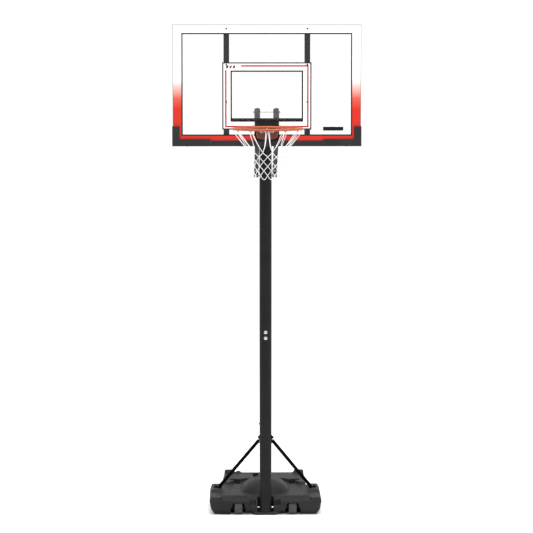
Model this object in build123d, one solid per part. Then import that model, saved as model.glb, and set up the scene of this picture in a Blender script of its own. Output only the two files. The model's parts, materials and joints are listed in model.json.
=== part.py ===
from build123d import *
import math
import os

# Portable basketball hoop, in millimetres. The origin is on the floor under the pole's axis,
# +Z is up, the backboard and rim are towards -Y and the wheeled base reaches towards +Y.

SIDES = {"left": -1, "right": 1}
GAP = 0.3  # room between pieces of different bodies, and under trim that wraps another piece
FIT = 0.08  # radial running clearance of a pin in its hole
THREAD_GAP = 0.02  # radial gap between a bolt and its nut

# Pole: three round steel tubes, each sitting on the swaged end of the one below
POLE_R = 44.45
POLE_WALL = 2.0
POLE_FOOT_Z = 22.0
LOWER_JOINT_Z = 1010.0
UPPER_JOINT_Z = 1960.0
POLE_TOP_Z = 2786.0
SPIGOT_LENGTH = 90.0
SPIGOT_GAP = 0.1
NECK_IN = 8.0
POLE_CAP_H = 12.0
POLE_CAP_PLUG = 25.0
POLE_SCREW_Z = 674.0
SCREW_HEAD_H = 3.5
SCREW_LENGTH = 12.0

# Height linkage: a parallelogram of two pairs of arms between the pole and the backboard
ARM_REACH = 610.0
ARM_ANGLE = 22.05
ARM_REAR = 110.0
PIVOT_SPACING = 220.0
UPPER_PIVOT_Z = 2759.0
LOWER_PIVOT_Z = UPPER_PIVOT_Z - PIVOT_SPACING
ARM_X = 67.0
ARM_W = 31.4
ARM_H = 30.0
ARM_WALL = 2.5
PIVOT_R = 5.0
REAR_PIN_R = 6.0
REAR_PIN_CAP_T = 5.0
HEX_FACTOR = 1.7  # half the width across a bolt's flats, in bolt radii
HEAD_FACTOR = 1.2  # height of a bolt's head, in bolt radii
WASHER_FACTOR = 2.1  # a washer's radius, in bolt radii
WASHER_T = 2.0
RISE = ARM_REACH * math.sin(math.radians(ARM_ANGLE))
RUN = ARM_REACH * math.cos(math.radians(ARM_ANGLE))
REAR_PIN_Y = ARM_REAR * math.cos(math.radians(ARM_ANGLE))
REAR_PIN_Z = LOWER_PIVOT_Z - ARM_REAR * math.sin(math.radians(ARM_ANGLE))
BOARD_PIVOT_Y = -RUN
BOARD_UPPER_Z = UPPER_PIVOT_Z + RISE
BOARD_LOWER_Z = LOWER_PIVOT_Z + RISE

# Backboard: a clear sheet with a thin edge trim on a steel tube frame
BOARD_W = 1321.0
BOARD_H = 838.0
BOARD_TOP_Z = 3600.0
BOARD_BOTTOM_Z = BOARD_TOP_Z - BOARD_H
BOARD_FACE_Y = -660.0
PANEL_T = 4.0
TRIM_T = 3.0
TRIM_DEPTH = 22.0
FRAME_DEPTH = 25.0
FRAME_WALL = 1.5
UPRIGHT_X = 284.0
UPRIGHT_W = 40.0
CROSSBAR_H = 25.0
CROSSBAR_Z = {"top": 3578.5, "middle": 2932.5, "bottom": 2777.5}
PANEL_SCREW_Z = (2850.0, 3060.0, 3320.0, 3572.0)
PANEL_SCREW_HEAD_H = 1.2
PANEL_SCREW_TIP = 3.0
PANEL_BACK_Y = BOARD_FACE_Y + PANEL_T
FRAME_BACK_Y = PANEL_BACK_Y + FRAME_DEPTH

# Channel brackets that carry the backboard on the arms
BRACKET_W = 40.0
BRACKET_T = 2.6
BRACKET_REAR = 20.0
BRACKET_ARCH_R = 26.0
BRACKET_ARCH_RISE = 3.0
BRACKET_FOOT_Z = 2746.0

# Edge pad: a strip along the bottom of the board between two thicker corner guards
PAD_BOTTOM_Z = 2749.0
PAD_TOP_Z = 2790.0
PAD_PROUD = 8.0
GUARD_PROUD = 12.0
GUARD_OUT = 4.0
GUARD_LEG_W = 52.0
GUARD_LEG_TOP_Z = 2889.0
GUARD_LENGTH = 269.0
GUARD_TOP_Z = 2800.0
PAD_REAR_Y = -634.0
PAD_SCREW_X = (-560.0, -180.0, 180.0, 560.0)
PAD_SCREW_HEAD_H = 2.0

# Rim: a rod ring that tips down on a sprung pivot, carried by a plate and a curved brace
RING_R = 236.6
ROD_R = 8.0
RING_Y = BOARD_FACE_Y - 375.0
RIM_TOP_Z = 2896.0
RING_Z = RIM_TOP_Z - ROD_R
RIM_PIVOT_Y = -690.0
RIM_PIVOT_Z = 2862.0
RIM_PIN_R = 5.0
MOUNT_HALF_W = 85.0
MOUNT_BOTTOM_Z = 2791.0
MOUNT_SHOULDER_Z = 2892.0
MOUNT_TOP_Z = 2921.0
MOUNT_DEPTH = 14.0
MOUNT_LIP = 5.0
MOUNT_WALL = 3.0
RIM_BOLT_Z = (2812.0, 2900.0)
EAR_X = 64.0
EAR_T = 4.0
KNUCKLE_X = 58.5
KNUCKLE_HALF_W = 3.5
PIN_END = 3.0
PLATE_HALF_W = 62.0
PLATE_T = 4.0
BRACE_HALF_W = 74.0
BRACE_CURVE = [(74.0, 2842.0), (71.0, 2828.0), (61.0, 2814.0), (45.0, 2805.0), (24.0, 2801.0)]
BRACE_FOOT_Z = 2800.0
BRACE_FOOT_Y = -712.0
BRACE_WINDOW_HALF_W = 54.0
BRACE_WINDOW_Z = 2846.0
HOOKS = 12
HOOK_R = 8.0
HOOK_WIRE_R = 2.2
HOOK_DROP = 2.0
SPRING_X = 31.0
SPRING_LENGTH = 44.0
SPRING_OUT_R = 10.0
SPRING_IN_R = 6.0

# Net: the funnel that its cords hang in, from the hooks to the bottom loops
NET_WALL = 3.0
NET_TOP_Z = 2865.0
NET_TOP_R = 219.0
NET_KNOT_Z = 2724.0
NET_KNOT_R = 128.0
NET_MID_Z = 2660.0
NET_MID_R = 106.0
NET_BOTTOM_Z = 2533.0
NET_BOTTOM_R = 94.0

# Height adjuster behind the pole: a tube from the arms slides on a rod held by a bracket
ROD_Y = 98.0
GUIDE_ROD_R = 9.5
GUIDE_ROD_FOOT_Z = 1262.0
GUIDE_ROD_TOP_Z = 1760.0
TUBE_R = 12.7
TUBE_WALL = 2.0
TUBE_FOOT_Z = 1450.0
TUBE_TOP_Z = 2470.0
HEAD_T = 12.0
HEAD_FRONT_Y = 70.0
HEAD_REAR_Y = 126.0
HEAD_MARGIN = 12.0
SLOT_BELOW = 7.2
SLOT_ABOVE = 9.4
SLOT_FRONT_Y = 79.0
SLOT_REAR_Y = 116.8
NECK_LENGTH = 30.0
BUSH_LENGTH = 30.0
ADJUSTER_Z = {"low": 1285.0, "high": 1378.0}
ADJUSTER_HALF_W = 30.0
ADJUSTER_REAR_Y = 120.0
ADJUSTER_T = 4.0
CARRIAGE_Z = (1312.0, 1355.0)
CARRIAGE_R = 4.0
CARRIAGE_HEAD_R = 12.0
CARRIAGE_HEAD_H = 4.5

# Handle on the sliding tube, with a finger loop and a trigger that frees two lock plates
HANDLE_HALF_W = 20.0
HANDLE_FRONT_Y = 76.0
HANDLE_REAR_Y = 186.0
HANDLE_FOOT_Z = 1424.0
HANDLE_TOP_Z = 1562.0
HANDLE_ROUND = 16.0
LOOP_ROUND = 7.0
LOOP_FRONT_Y = 123.0
LOOP_REAR_Y = 166.0
LOOP_FOOT_Z = 1446.0
LOOP_TOP_Z = 1540.0
LOCK_FLOOR_Z = 1430.0
LOCK_ROOF_Z = 1448.0
LOCK_PLATE_T = 3.0
LOCK_PLATE_Z = (LOCK_FLOOR_Z + 3.0, LOCK_FLOOR_Z + 10.0)
TRIGGER_PIVOT_Y = 131.0
HANDLE_PIN_Z = LOOP_TOP_Z + 6.0
TRIGGER_PIN_R = 2.5
TRIGGER_HALF_W = 8.0
TRIGGER_T = 8.0
TRIGGER_LENGTH = 74.0

# Counterbalance springs between the arms' rear pin and an anchor on the back of the pole
COUNTER_X = 27.0
COUNTER_Y = 101.0
COUNTER_R = 9.5
COUNTER_BORE_R = 7.0
ANCHOR_Z = 2235.0
ANCHOR_STUD_R = 4.0
ANCHOR_HALF_W = 42.0
ANCHOR_T = 4.0
ANCHOR_HALF_H = 22.0
ANCHOR_LIP = 12.0
ANCHOR_SCREW_IN = 14.0
HOOK_ROOM = 4.0

# Braces between the pole and the base
STRUT_R = 12.7
STRUT_WALL = 1.6
STRUT_TOP_Z = 573.0
STRUT_FOOT_X = 368.0
STRUT_FOOT_Y = 300.0
TAB_T = 4.0
TAB_W = 34.0
TAB_LENGTH = 38.0
TAB_BEND_OUT = 7.0
TAB_BEND_UP = 9.0
FOOT_BOLT_LENGTH = 18.0

# Base: a hollow blow-moulded tank with wheels at its front edge
BASE_HALF_W = 415.0
BASE_FRONT_Y = -45.0
BASE_STEP_Y = 476.0
BASE_REAR_Y = 945.0
BASE_REAR_HALF_W = 318.0
BASE_CORNER_R = 46.0
BASE_BELT_Z = 97.0
BASE_TOP_Z = 131.0
BASE_DRAFT = 12.0
BASE_TUCK_Z = 36.0
BASE_TUCK = 36.0
BASE_WALL = 5.0
CUT = 10.0  # how far a cut runs past the surface it opens
DECK_HALF_W = 304.0
DECK_FRONT_Y = 500.0
DECK_REAR_Y = 932.0
DECK_Z = 150.0
DECK_EDGE = 9.0
BRACE_PAD_Z = 147.0
BRACE_PAD_X = (318.0, 402.0)
BRACE_PAD_Y = (190.0, 462.0)
RAISED_EDGE = 9.0
CORNER_BLOCK_X = (228.0, 306.0)
CORNER_BLOCK_FRONT_Y = 868.0
CORNER_BLOCK_H = 22.0
BUMP_X = (-216.0, -180.0)
BUMP_Y = (884.0, 922.0)
BUMP_H = 14.0
RIB_X = (130.0, 318.0)
RIB_Y = (6.0, 26.0)
RIB_H = 7.0
RIB_EDGE = 4.0
DOME_R = 225.6
DOME_TOP_Z = 218.0
DOME_FRONT_Y = 300.0
DOME_REAR_Y = 430.0
TRAY_R = 275.0
TRAY_Z = 121.0
SLOT_HALF_W = 60.0
SLOT_END_Y = 62.0
SLOT_FLOOR_Z = 20.0
SILL_Z = 22.0
SILL_HALF_W = 150.0
WEDGE_HALF_W = 330.0
WEDGE_FRONT_Z = 98.0
WEDGE_REAR_Y = 20.0
FRONT_POCKET_X = {"left": (-120.0, -72.0), "right": (60.0, 110.0)}
FRONT_POCKET_Z = (70.0, 118.0)
FRONT_POCKET_DEPTH = 26.0
RECESS_X = (186.0, 264.0)
RECESS_Y = (585.0, 640.0)
RECESS_Z = 88.0
FOOT_HALF_W = (77.0, 92.0)
AXLE_R = 6.35
AXLE_Z = 51.0
AXLE_HALF_L = 252.0
WHEEL_R = 48.0
WHEEL_X = 200.0
WHEEL_HALF_W = 28.5
WHEEL_EDGE = 3.0
WHEEL_RECESS = 12.0
WHEEL_TREAD_T = 9.0
WHEEL_WELL = (12.0, 60.0)
WHEEL_ROOM = 5.0
WHEEL_POCKET = [(145.0, -5.0), (145.0, 32.0), (163.0, 90.0), (235.0, 90.0), (259.0, 32.0), (259.0, -5.0)]
POCKET_END_Y = 205.0
BALLAST_TOP_Z = 100.0
FILL_CAP_X = -70.0
FILL_CAP_Y = 470.0
FILL_CAP_R = 24.0
FILL_CAP_H = 14.0
FILL_CAP_EDGE = 2.5
FILL_LIP = 4.0
FILL_PLUG_H = 26.0
FILL_PLUG_WALL = 3.0
DRAIN_X = 84.0
DRAIN_Z = 94.0
DRAIN_R = 14.0
DRAIN_CAP_H = 12.0
DRAIN_EDGE = 2.0
DRAIN_GRIP = 4.0
DRAIN_GRIP_HALF_T = 2.5


def box(x, y, z):
    """A box between two values on each axis."""
    size = Box(x[1] - x[0], y[1] - y[0], z[1] - z[0])
    return Pos(sum(x) / 2, sum(y) / 2, sum(z) / 2) * size


def rod_x(radius, x, y, z):
    return Pos(sum(x) / 2, y, z) * Rot(0, 90, 0) * Cylinder(radius, x[1] - x[0])


def rod_y(radius, x, y, z):
    return Pos(x, sum(y) / 2, z) * Rot(90, 0, 0) * Cylinder(radius, y[1] - y[0])


def rod_z(radius, x, y, z):
    return Pos(x, y, sum(z) / 2) * Cylinder(radius, z[1] - z[0])


def prism_x(profile, x):
    """A sketch drawn in (y, z), extruded between two values of x."""
    return Pos(x[0], 0, 0) * extrude(Plane.YZ * profile, amount=x[1] - x[0])


def prism_y(profile, y):
    """A sketch drawn in (x, z), extruded between two values of y."""
    return Pos(0, y[1], 0) * extrude(Plane.XZ * profile, amount=y[1] - y[0])


def prism_z(profile, z):
    return Pos(0, 0, z[0]) * extrude(profile, amount=z[1] - z[0])


def polygon(points):
    """A flat shape through the points, wound so that it always extrudes the same way."""
    pairs = zip(points, points[1:] + points[:1])
    turn = sum(a[0] * b[1] - b[0] * a[1] for a, b in pairs)
    return Polygon(*(points if turn > 0 else points[::-1]), align=None)


def mirrored(shape):
    return mirror(shape, about=Plane.YZ)


def span(centre, half):
    return (centre - half, centre + half)


def hexagon(radius, depth):
    """A six-sided head for a bolt of this radius."""
    return extrude(RegularPolygon(radius * HEX_FACTOR, 6, major_radius=False), amount=depth)


def hex_nut(radius, depth):
    """A nut with its axis along Z and its foot at the origin."""
    body = hexagon(radius, depth)
    return body - rod_z(radius + THREAD_GAP, 0, 0, (-1, depth + 1))


def bolt_along_x(radius, x, y, z):
    """A hex bolt along +X between two values of x, with its nut and two washers."""
    head_h = radius * HEAD_FACTOR
    head = hexagon(radius, head_h)
    washer = rod_z(radius * WASHER_FACTOR, 0, 0, (0, WASHER_T))
    washer -= rod_z(radius + THREAD_GAP, 0, 0, (-1, head_h))
    tip = radius * 0.8
    bolt = rod_x(radius, (x[0], x[1] + WASHER_T + head_h + tip), y, z)
    bolt += Pos(x[0] - WASHER_T, y, z) * Rot(0, -90, 0) * head
    bolt += rod_x(radius, (x[0] - WASHER_T, x[0]), y, z)
    left = Pos(x[0], y, z) * Rot(0, -90, 0) * washer
    right = Pos(x[1], y, z) * Rot(0, 90, 0) * washer
    nut = Pos(x[1] + WASHER_T, y, z) * Rot(0, 90, 0) * hex_nut(radius, head_h)
    return [bolt, left, right, nut]


# ---------------------------------------------------------------- pole


def pole_section(foot_z, shoulder_z, spigot):
    """One pole tube, with a reduced end that the next section slides over."""
    tube = rod_z(POLE_R, 0, 0, (foot_z, shoulder_z))
    bore_r = POLE_R - POLE_WALL
    if not spigot:
        return tube - rod_z(bore_r, 0, 0, (foot_z, shoulder_z))
    spigot_r = bore_r - SPIGOT_GAP
    top_z = shoulder_z + SPIGOT_LENGTH
    tube += rod_z(spigot_r, 0, 0, (shoulder_z, top_z))
    tube -= rod_z(bore_r, 0, 0, (foot_z, shoulder_z - NECK_IN))
    return tube - rod_z(spigot_r - POLE_WALL, 0, 0, (foot_z, top_z))


def pole_bottom():
    tube = pole_section(POLE_FOOT_Z, LOWER_JOINT_Z, True)
    tube -= rod_x(AXLE_R + FIT, (-POLE_R, POLE_R), 0, AXLE_Z)
    tube -= rod_x(PIVOT_R + FIT, (-POLE_R, POLE_R), 0, STRUT_TOP_Z)
    return tube - rod_x(CARRIAGE_R, (-POLE_R, 0), 0, POLE_SCREW_Z)


def pole_middle():
    tube = pole_section(LOWER_JOINT_Z, UPPER_JOINT_Z, True)
    for z in CARRIAGE_Z:
        tube -= rod_y(CARRIAGE_R + FIT, 0, (-POLE_R, POLE_R), z)
    return tube


def pole_top():
    tube = pole_section(UPPER_JOINT_Z, POLE_TOP_Z, False)
    for z in (UPPER_PIVOT_Z, LOWER_PIVOT_Z):
        tube -= rod_x(PIVOT_R + FIT, (-POLE_R, POLE_R), 0, z)
    for z in anchor_screw_heights():
        tube -= rod_y(ANCHOR_STUD_R + FIT, 0, (0, POLE_R), z)
    return tube


def pole_cap():
    """A plastic cap: a low domed disc with a ring that plugs into the tube."""
    disc = rod_z(POLE_R + 1, 0, 0, (POLE_TOP_Z, POLE_TOP_Z + POLE_CAP_H))
    disc = fillet(disc.edges().group_by(Axis.Z)[-1], POLE_CAP_H / 2)
    plug_r = POLE_R - POLE_WALL - SPIGOT_GAP
    plug = rod_z(plug_r, 0, 0, (POLE_TOP_Z - POLE_CAP_PLUG, POLE_TOP_Z))
    plug -= rod_z(plug_r - POLE_WALL, 0, 0, (POLE_TOP_Z - POLE_CAP_PLUG, POLE_TOP_Z))
    return disc + (plug - rod_x(PIVOT_R * 3, (-POLE_R, POLE_R), 0, UPPER_PIVOT_Z))


def pole_screw():
    """A pan-head screw in the left side of the bottom section."""
    head = rod_x(CARRIAGE_R * 1.8, (-POLE_R - SCREW_HEAD_H, -POLE_R + 1), 0, POLE_SCREW_Z)
    head -= rod_z(POLE_R, 0, 0, span(POLE_SCREW_Z, POLE_R))
    shank = rod_x(CARRIAGE_R - FIT, (-POLE_R - 1, -POLE_R + SCREW_LENGTH), 0, POLE_SCREW_Z)
    return head + shank


# ---------------------------------------------------------------- arms


def arm_profile(start, end, height):
    """A bar with round ends between two pivots, drawn in (y, z)."""
    length = math.dist(start, end)
    angle = math.degrees(math.atan2(end[1] - start[1], end[0] - start[0]))
    middle = ((start[0] + end[0]) / 2, (start[1] + end[1]) / 2)
    return Pos(*middle) * Rot(0, 0, angle) * SlotCenterToCenter(length, height)


def arm_trough(start, end):
    """The inside of a channel arm, open along its underside."""
    length = math.dist(start, end)
    angle = math.degrees(math.atan2(end[1] - start[1], end[0] - start[0]))
    middle = ((start[0] + end[0]) / 2, (start[1] + end[1]) / 2)
    inner = SlotCenterToCenter(length, ARM_H - 2 * ARM_WALL)
    mouth = Pos(0, -ARM_H / 2) * Rectangle(length, ARM_H)
    return Pos(*middle) * Rot(0, 0, angle) * (inner + mouth)


def channel_arm(side, start, end, pivots):
    x = span(side * ARM_X, ARM_W / 2)
    inside = span(side * ARM_X, ARM_W / 2 - ARM_WALL)
    arm = prism_x(arm_profile(start, end, ARM_H), x)
    arm -= prism_x(arm_trough(start, end), inside)
    for radius, (y, z) in pivots:
        arm -= rod_x(radius, x, y, z)
    return arm


def upper_arm(side):
    pole_end = (0.0, UPPER_PIVOT_Z)
    board_end = (BOARD_PIVOT_Y, BOARD_UPPER_Z)
    pivots = [(PIVOT_R + FIT, pole_end), (PIVOT_R + GAP, board_end)]
    return channel_arm(side, board_end, pole_end, pivots)


def lower_arm(side):
    board_end = (BOARD_PIVOT_Y, BOARD_LOWER_Z)
    rear_end = (REAR_PIN_Y, REAR_PIN_Z)
    pivots = [(PIVOT_R + FIT, board_end), (PIVOT_R + FIT, (0.0, LOWER_PIVOT_Z))]
    pivots.append((REAR_PIN_R + FIT, rear_end))
    return channel_arm(side, board_end, rear_end, pivots)


def rear_pin():
    """The cross pin of the lower arms, with an end cap outside each arm."""
    outside = ARM_X + ARM_W / 2
    pin = rod_x(REAR_PIN_R, (-outside, outside), REAR_PIN_Y, REAR_PIN_Z)
    for side in SIDES.values():
        x = sorted((side * outside, side * (outside + REAR_PIN_CAP_T)))
        pin += rod_x(REAR_PIN_R * 1.6, x, REAR_PIN_Y, REAR_PIN_Z)
    return pin


def pole_pivot_bolt(z):
    """The bolt through the pole and both arms, with spacers that keep the arms off the pole."""
    outside = ARM_X + ARM_W / 2 + GAP
    solids = bolt_along_x(PIVOT_R, (-outside, outside), 0, z)
    inside = ARM_X - ARM_W / 2 - GAP
    for side in SIDES.values():
        x = sorted((side * (POLE_R + GAP), side * inside))
        solids.append(rod_x(PIVOT_R * 1.9, x, 0, z) - rod_x(PIVOT_R + THREAD_GAP, x, 0, z))
    return solids


def board_pivot_bolt(z):
    outside = ARM_X + BRACKET_W / 2
    return bolt_along_x(PIVOT_R, (-outside, outside), BOARD_PIVOT_Y, z)


# ---------------------------------------------------------------- backboard


def backboard_panel():
    half = BOARD_W / 2 - TRIM_T
    panel = box((-half, half), (BOARD_FACE_Y, PANEL_BACK_Y), (BOARD_BOTTOM_Z, BOARD_TOP_Z - TRIM_T))
    for x, z in rim_bolt_places():
        panel -= rod_y(PIVOT_R + GAP, x, (BOARD_FACE_Y, PANEL_BACK_Y), z)
    for x, z in panel_screw_places():
        panel -= rod_y(CARRIAGE_R + FIT, x, (BOARD_FACE_Y, PANEL_BACK_Y), z)
    return panel


def edge_trim():
    """Thin aluminium strips along both sides and the top of the board."""
    half = BOARD_W / 2
    depth = (BOARD_FACE_Y, BOARD_FACE_Y + TRIM_DEPTH)
    strips = [box((-half, half), depth, (BOARD_TOP_Z - TRIM_T, BOARD_TOP_Z))]
    for side in SIDES.values():
        x = sorted((side * half, side * (half - TRIM_T)))
        strips.append(box(x, depth, (BOARD_BOTTOM_Z, BOARD_TOP_Z - TRIM_T)))
    return strips


def square_tube(x, z, along_x):
    """A frame tube behind the panel, open at both ends."""
    depth = (PANEL_BACK_Y, FRAME_BACK_Y)
    bore_y = (depth[0] + FRAME_WALL, depth[1] - FRAME_WALL)
    if along_x:
        bore = box(x, bore_y, (z[0] + FRAME_WALL, z[1] - FRAME_WALL))
    else:
        bore = box((x[0] + FRAME_WALL, x[1] - FRAME_WALL), bore_y, z)
    return box(x, depth, z) - bore


def frame_upright(side):
    x = span(side * UPRIGHT_X, UPRIGHT_W / 2)
    tube = square_tube(x, (BOARD_BOTTOM_Z + TRIM_T, BOARD_TOP_Z - 2 * TRIM_T), False)
    for screw_x, z in panel_screw_places():
        tube -= rod_y(CARRIAGE_R + FIT, screw_x, (PANEL_BACK_Y, FRAME_BACK_Y), z)
    return tube


def frame_crossbar(level):
    half = UPRIGHT_X - UPRIGHT_W / 2
    z = span(CROSSBAR_Z[level], CROSSBAR_H / 2)
    return square_tube((-half, half), z, True)


def board_bracket(side):
    """A channel with its web on the frame and its two cheeks around the arms' ends."""
    x = span(side * ARM_X, BRACKET_W / 2)
    arch_z = BOARD_UPPER_Z + BRACKET_ARCH_RISE
    y = (FRAME_BACK_Y, BOARD_PIVOT_Y + BRACKET_REAR)
    block = box(x, y, (BRACKET_FOOT_Z, arch_z + BRACKET_ARCH_R))
    arch = polygon([(x[0], BRACKET_FOOT_Z), (x[1], BRACKET_FOOT_Z), (x[1], arch_z), (x[0], arch_z)])
    arch += Pos(side * ARM_X, arch_z) * Circle(BRACKET_ARCH_R)
    block = block & prism_y(arch, y)
    rear_edges = block.edges().filter_by(Axis.X).group_by(Axis.Y)[-1]
    block = fillet(rear_edges, BRACKET_REAR * 0.7)
    inner = span(side * ARM_X, BRACKET_W / 2 - BRACKET_T)
    block -= box(inner, (y[0] + BRACKET_T, y[1] + 1), (BRACKET_FOOT_Z - 1, arch_z + BRACKET_ARCH_R + 1))
    for z in (BOARD_UPPER_Z, BOARD_LOWER_Z):
        block -= rod_x(PIVOT_R + FIT, x, BOARD_PIVOT_Y, z)
    for bolt_x, z in rim_bolt_places():
        block -= rod_y(PIVOT_R + FIT, bolt_x, (y[0], y[0] + BRACKET_T), z)
    return block


def pad_blank(x, z, proud):
    """A block of pad around the board's edge, hollowed where the board and frame sit."""
    block = box(x, (BOARD_FACE_Y - proud, PAD_REAR_Y), z)
    half = BOARD_W / 2 + GAP
    board = box((-half, half), (BOARD_FACE_Y - GAP, 0), (BOARD_BOTTOM_Z - GAP, BOARD_TOP_Z))
    return block - board


def backboard_pad():
    """The bottom strip and two L-shaped corner guards, as three separate mouldings."""
    inner = BOARD_W / 2 + GUARD_OUT - GUARD_LENGTH
    solids = [pad_blank((-inner + GAP, inner - GAP), (PAD_BOTTOM_Z, PAD_TOP_Z), PAD_PROUD)]
    outer = BOARD_W / 2 + GUARD_OUT
    for side in SIDES.values():
        foot_x = sorted((side * inner, side * outer))
        leg_x = sorted((side * (outer - GUARD_LEG_W), side * outer))
        guard = pad_blank(foot_x, (PAD_BOTTOM_Z, GUARD_TOP_Z), GUARD_PROUD)
        guard += pad_blank(leg_x, (PAD_BOTTOM_Z, GUARD_LEG_TOP_Z), GUARD_PROUD)
        solids.append(guard)
    return solids


def pad_screws():
    """Screws up through the pad's underside at both ends of the strip and both guards."""
    solids = []
    y = (BOARD_FACE_Y + PAD_REAR_Y) / 2
    for x in PAD_SCREW_X:
        solids.append(rod_z(CARRIAGE_R * 1.5, x, y, (PAD_BOTTOM_Z - PAD_SCREW_HEAD_H, PAD_BOTTOM_Z)))
    return solids


def panel_screw_places():
    return [(side * UPRIGHT_X, z) for side in SIDES.values() for z in PANEL_SCREW_Z]


def panel_screws():
    """Low-headed screws that hold the panel to the uprights, seen from behind as tips."""
    solids = []
    for x, z in panel_screw_places():
        head = rod_y(CARRIAGE_R * 1.6, x, (BOARD_FACE_Y - PANEL_SCREW_HEAD_H, BOARD_FACE_Y), z)
        solids.append(head + rod_y(CARRIAGE_R, x, (BOARD_FACE_Y, FRAME_BACK_Y + PANEL_SCREW_TIP), z))
    return solids


# ---------------------------------------------------------------- rim


def rim_bolt_places():
    return [(side * ARM_X, z) for side in SIDES.values() for z in RIM_BOLT_Z]


def rim_mount():
    """A pressed cover plate with a sloping top and two ears that hold the rim's pivot."""
    back = BOARD_FACE_Y
    front = BOARD_FACE_Y - MOUNT_DEPTH
    outside = [(back, MOUNT_BOTTOM_Z), (back, MOUNT_TOP_Z), (back - MOUNT_LIP, MOUNT_TOP_Z)]
    outside += [(front, MOUNT_SHOULDER_Z), (front, MOUNT_BOTTOM_Z)]
    inside = [(back + 1, MOUNT_BOTTOM_Z + MOUNT_WALL), (back + 1, MOUNT_SHOULDER_Z)]
    inside += [(front + MOUNT_WALL, MOUNT_SHOULDER_Z - MOUNT_WALL)]
    inside += [(front + MOUNT_WALL, MOUNT_BOTTOM_Z + MOUNT_WALL)]
    mount = prism_x(polygon(outside), (-MOUNT_HALF_W, MOUNT_HALF_W))
    half = MOUNT_HALF_W - MOUNT_WALL
    mount -= prism_x(polygon(inside), (-half, half))
    for side in SIDES.values():
        x = sorted((side * EAR_X, side * (EAR_X + EAR_T)))
        ear = box(x, (RIM_PIVOT_Y, front), span(RIM_PIVOT_Z, RIM_PIN_R * 2.4))
        ear += rod_x(RIM_PIN_R * 2.4, x, RIM_PIVOT_Y, RIM_PIVOT_Z)
        mount += ear - rod_x(RIM_PIN_R + FIT, x, RIM_PIVOT_Y, RIM_PIVOT_Z)
    for x, z in rim_bolt_places():
        mount -= rod_y(PIVOT_R + FIT, x, (front, back), z)
    return mount


def rim_bolts():
    """Hex bolts from the mount through the board into the brackets, with nuts inside them."""
    solids = []
    front = BOARD_FACE_Y - MOUNT_DEPTH
    nut_y = FRAME_BACK_Y + BRACKET_T
    for x, z in rim_bolt_places():
        head = Pos(x, front, z) * Rot(90, 0, 0)
        head *= hexagon(PIVOT_R, PIVOT_R * HEAD_FACTOR)
        bolt = head + rod_y(PIVOT_R, x, (front, nut_y + PIVOT_R * 1.8), z)
        nut = Pos(x, nut_y, z) * Rot(-90, 0, 0) * hex_nut(PIVOT_R, PIVOT_R * 1.4)
        solids += [bolt, nut]
    return solids


def rim_pivot_pin():
    outside = EAR_X + EAR_T + PIN_END
    pin = rod_x(RIM_PIN_R, (-outside, outside), RIM_PIVOT_Y, RIM_PIVOT_Z)
    head = rod_x(RIM_PIN_R * 1.6, (-outside - PIN_END, -EAR_X - EAR_T), RIM_PIVOT_Y, RIM_PIVOT_Z)
    return pin + head


def rim_springs():
    """Two torsion springs wound on the pivot pin, as plain sleeves."""
    solids = []
    for side in SIDES.values():
        x = span(side * SPRING_X, SPRING_LENGTH / 2)
        sleeve = rod_x(SPRING_OUT_R, x, RIM_PIVOT_Y, RIM_PIVOT_Z)
        solids.append(sleeve - rod_x(SPRING_IN_R, x, RIM_PIVOT_Y, RIM_PIVOT_Z))
    return solids


def rim_ring():
    return Pos(0, RING_Y, RING_Z) * Torus(RING_R, ROD_R)


def ring_without_rod(shape):
    """Cuts a piece back to the ring's surface, where it is welded on."""
    return shape - Pos(0, RING_Y, RING_Z) * Torus(RING_R, ROD_R)


def rim_plate():
    """The flat plate from the ring back to the pivot, with two knuckles on the pin."""
    top = RING_Z + PLATE_T / 2
    rear = BOARD_FACE_Y - MOUNT_DEPTH - 1.0
    plate = box((-PLATE_HALF_W, PLATE_HALF_W), (RING_Y + RING_R * 0.94, rear), (top - PLATE_T, top))
    plate -= rod_z(RING_R, 0, RING_Y, (top - PLATE_T, top))
    for side in SIDES.values():
        x = span(side * KNUCKLE_X, KNUCKLE_HALF_W)
        knuckle = box(x, span(RIM_PIVOT_Y, RIM_PIN_R * 2), (RIM_PIVOT_Z, top - PLATE_T))
        knuckle += rod_x(RIM_PIN_R * 2, x, RIM_PIVOT_Y, RIM_PIVOT_Z)
        plate += knuckle - rod_x(RIM_PIN_R + FIT, x, RIM_PIVOT_Y, RIM_PIVOT_Z)
    return ring_without_rod(plate)


def rim_brace():
    """A curved apron from the ring down and back to a rounded foot, with a window at the springs."""
    top_z = RING_Z - PLATE_T / 2 - GAP
    outer = brace_cone(0.0, top_z)
    inner = brace_cone(PLATE_T * 0.75, top_z)
    brace = outer - inner
    right = [(BRACE_HALF_W, top_z)] + BRACE_CURVE
    left = [(-x, z) for x, z in reversed(right)]
    keep = polygon(right + [(0, BRACE_FOOT_Z)] + left)
    brace = brace & prism_y(keep, (RING_Y, BOARD_FACE_Y))
    brace -= box(span(0, BRACE_WINDOW_HALF_W), (RING_Y, BOARD_FACE_Y), (BRACE_WINDOW_Z, RING_Z))
    return ring_without_rod(brace)


def brace_cone(thickness, top_z):
    """The round body that the brace's sheet lies on, smaller by the sheet's thickness."""
    foot_r = BRACE_FOOT_Y - RING_Y
    top_r = RING_R
    cone = Cone(foot_r - thickness, top_r - thickness, top_z - BRACE_FOOT_Z)
    return Pos(0, RING_Y, (top_z + BRACE_FOOT_Z) / 2) * cone


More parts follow.
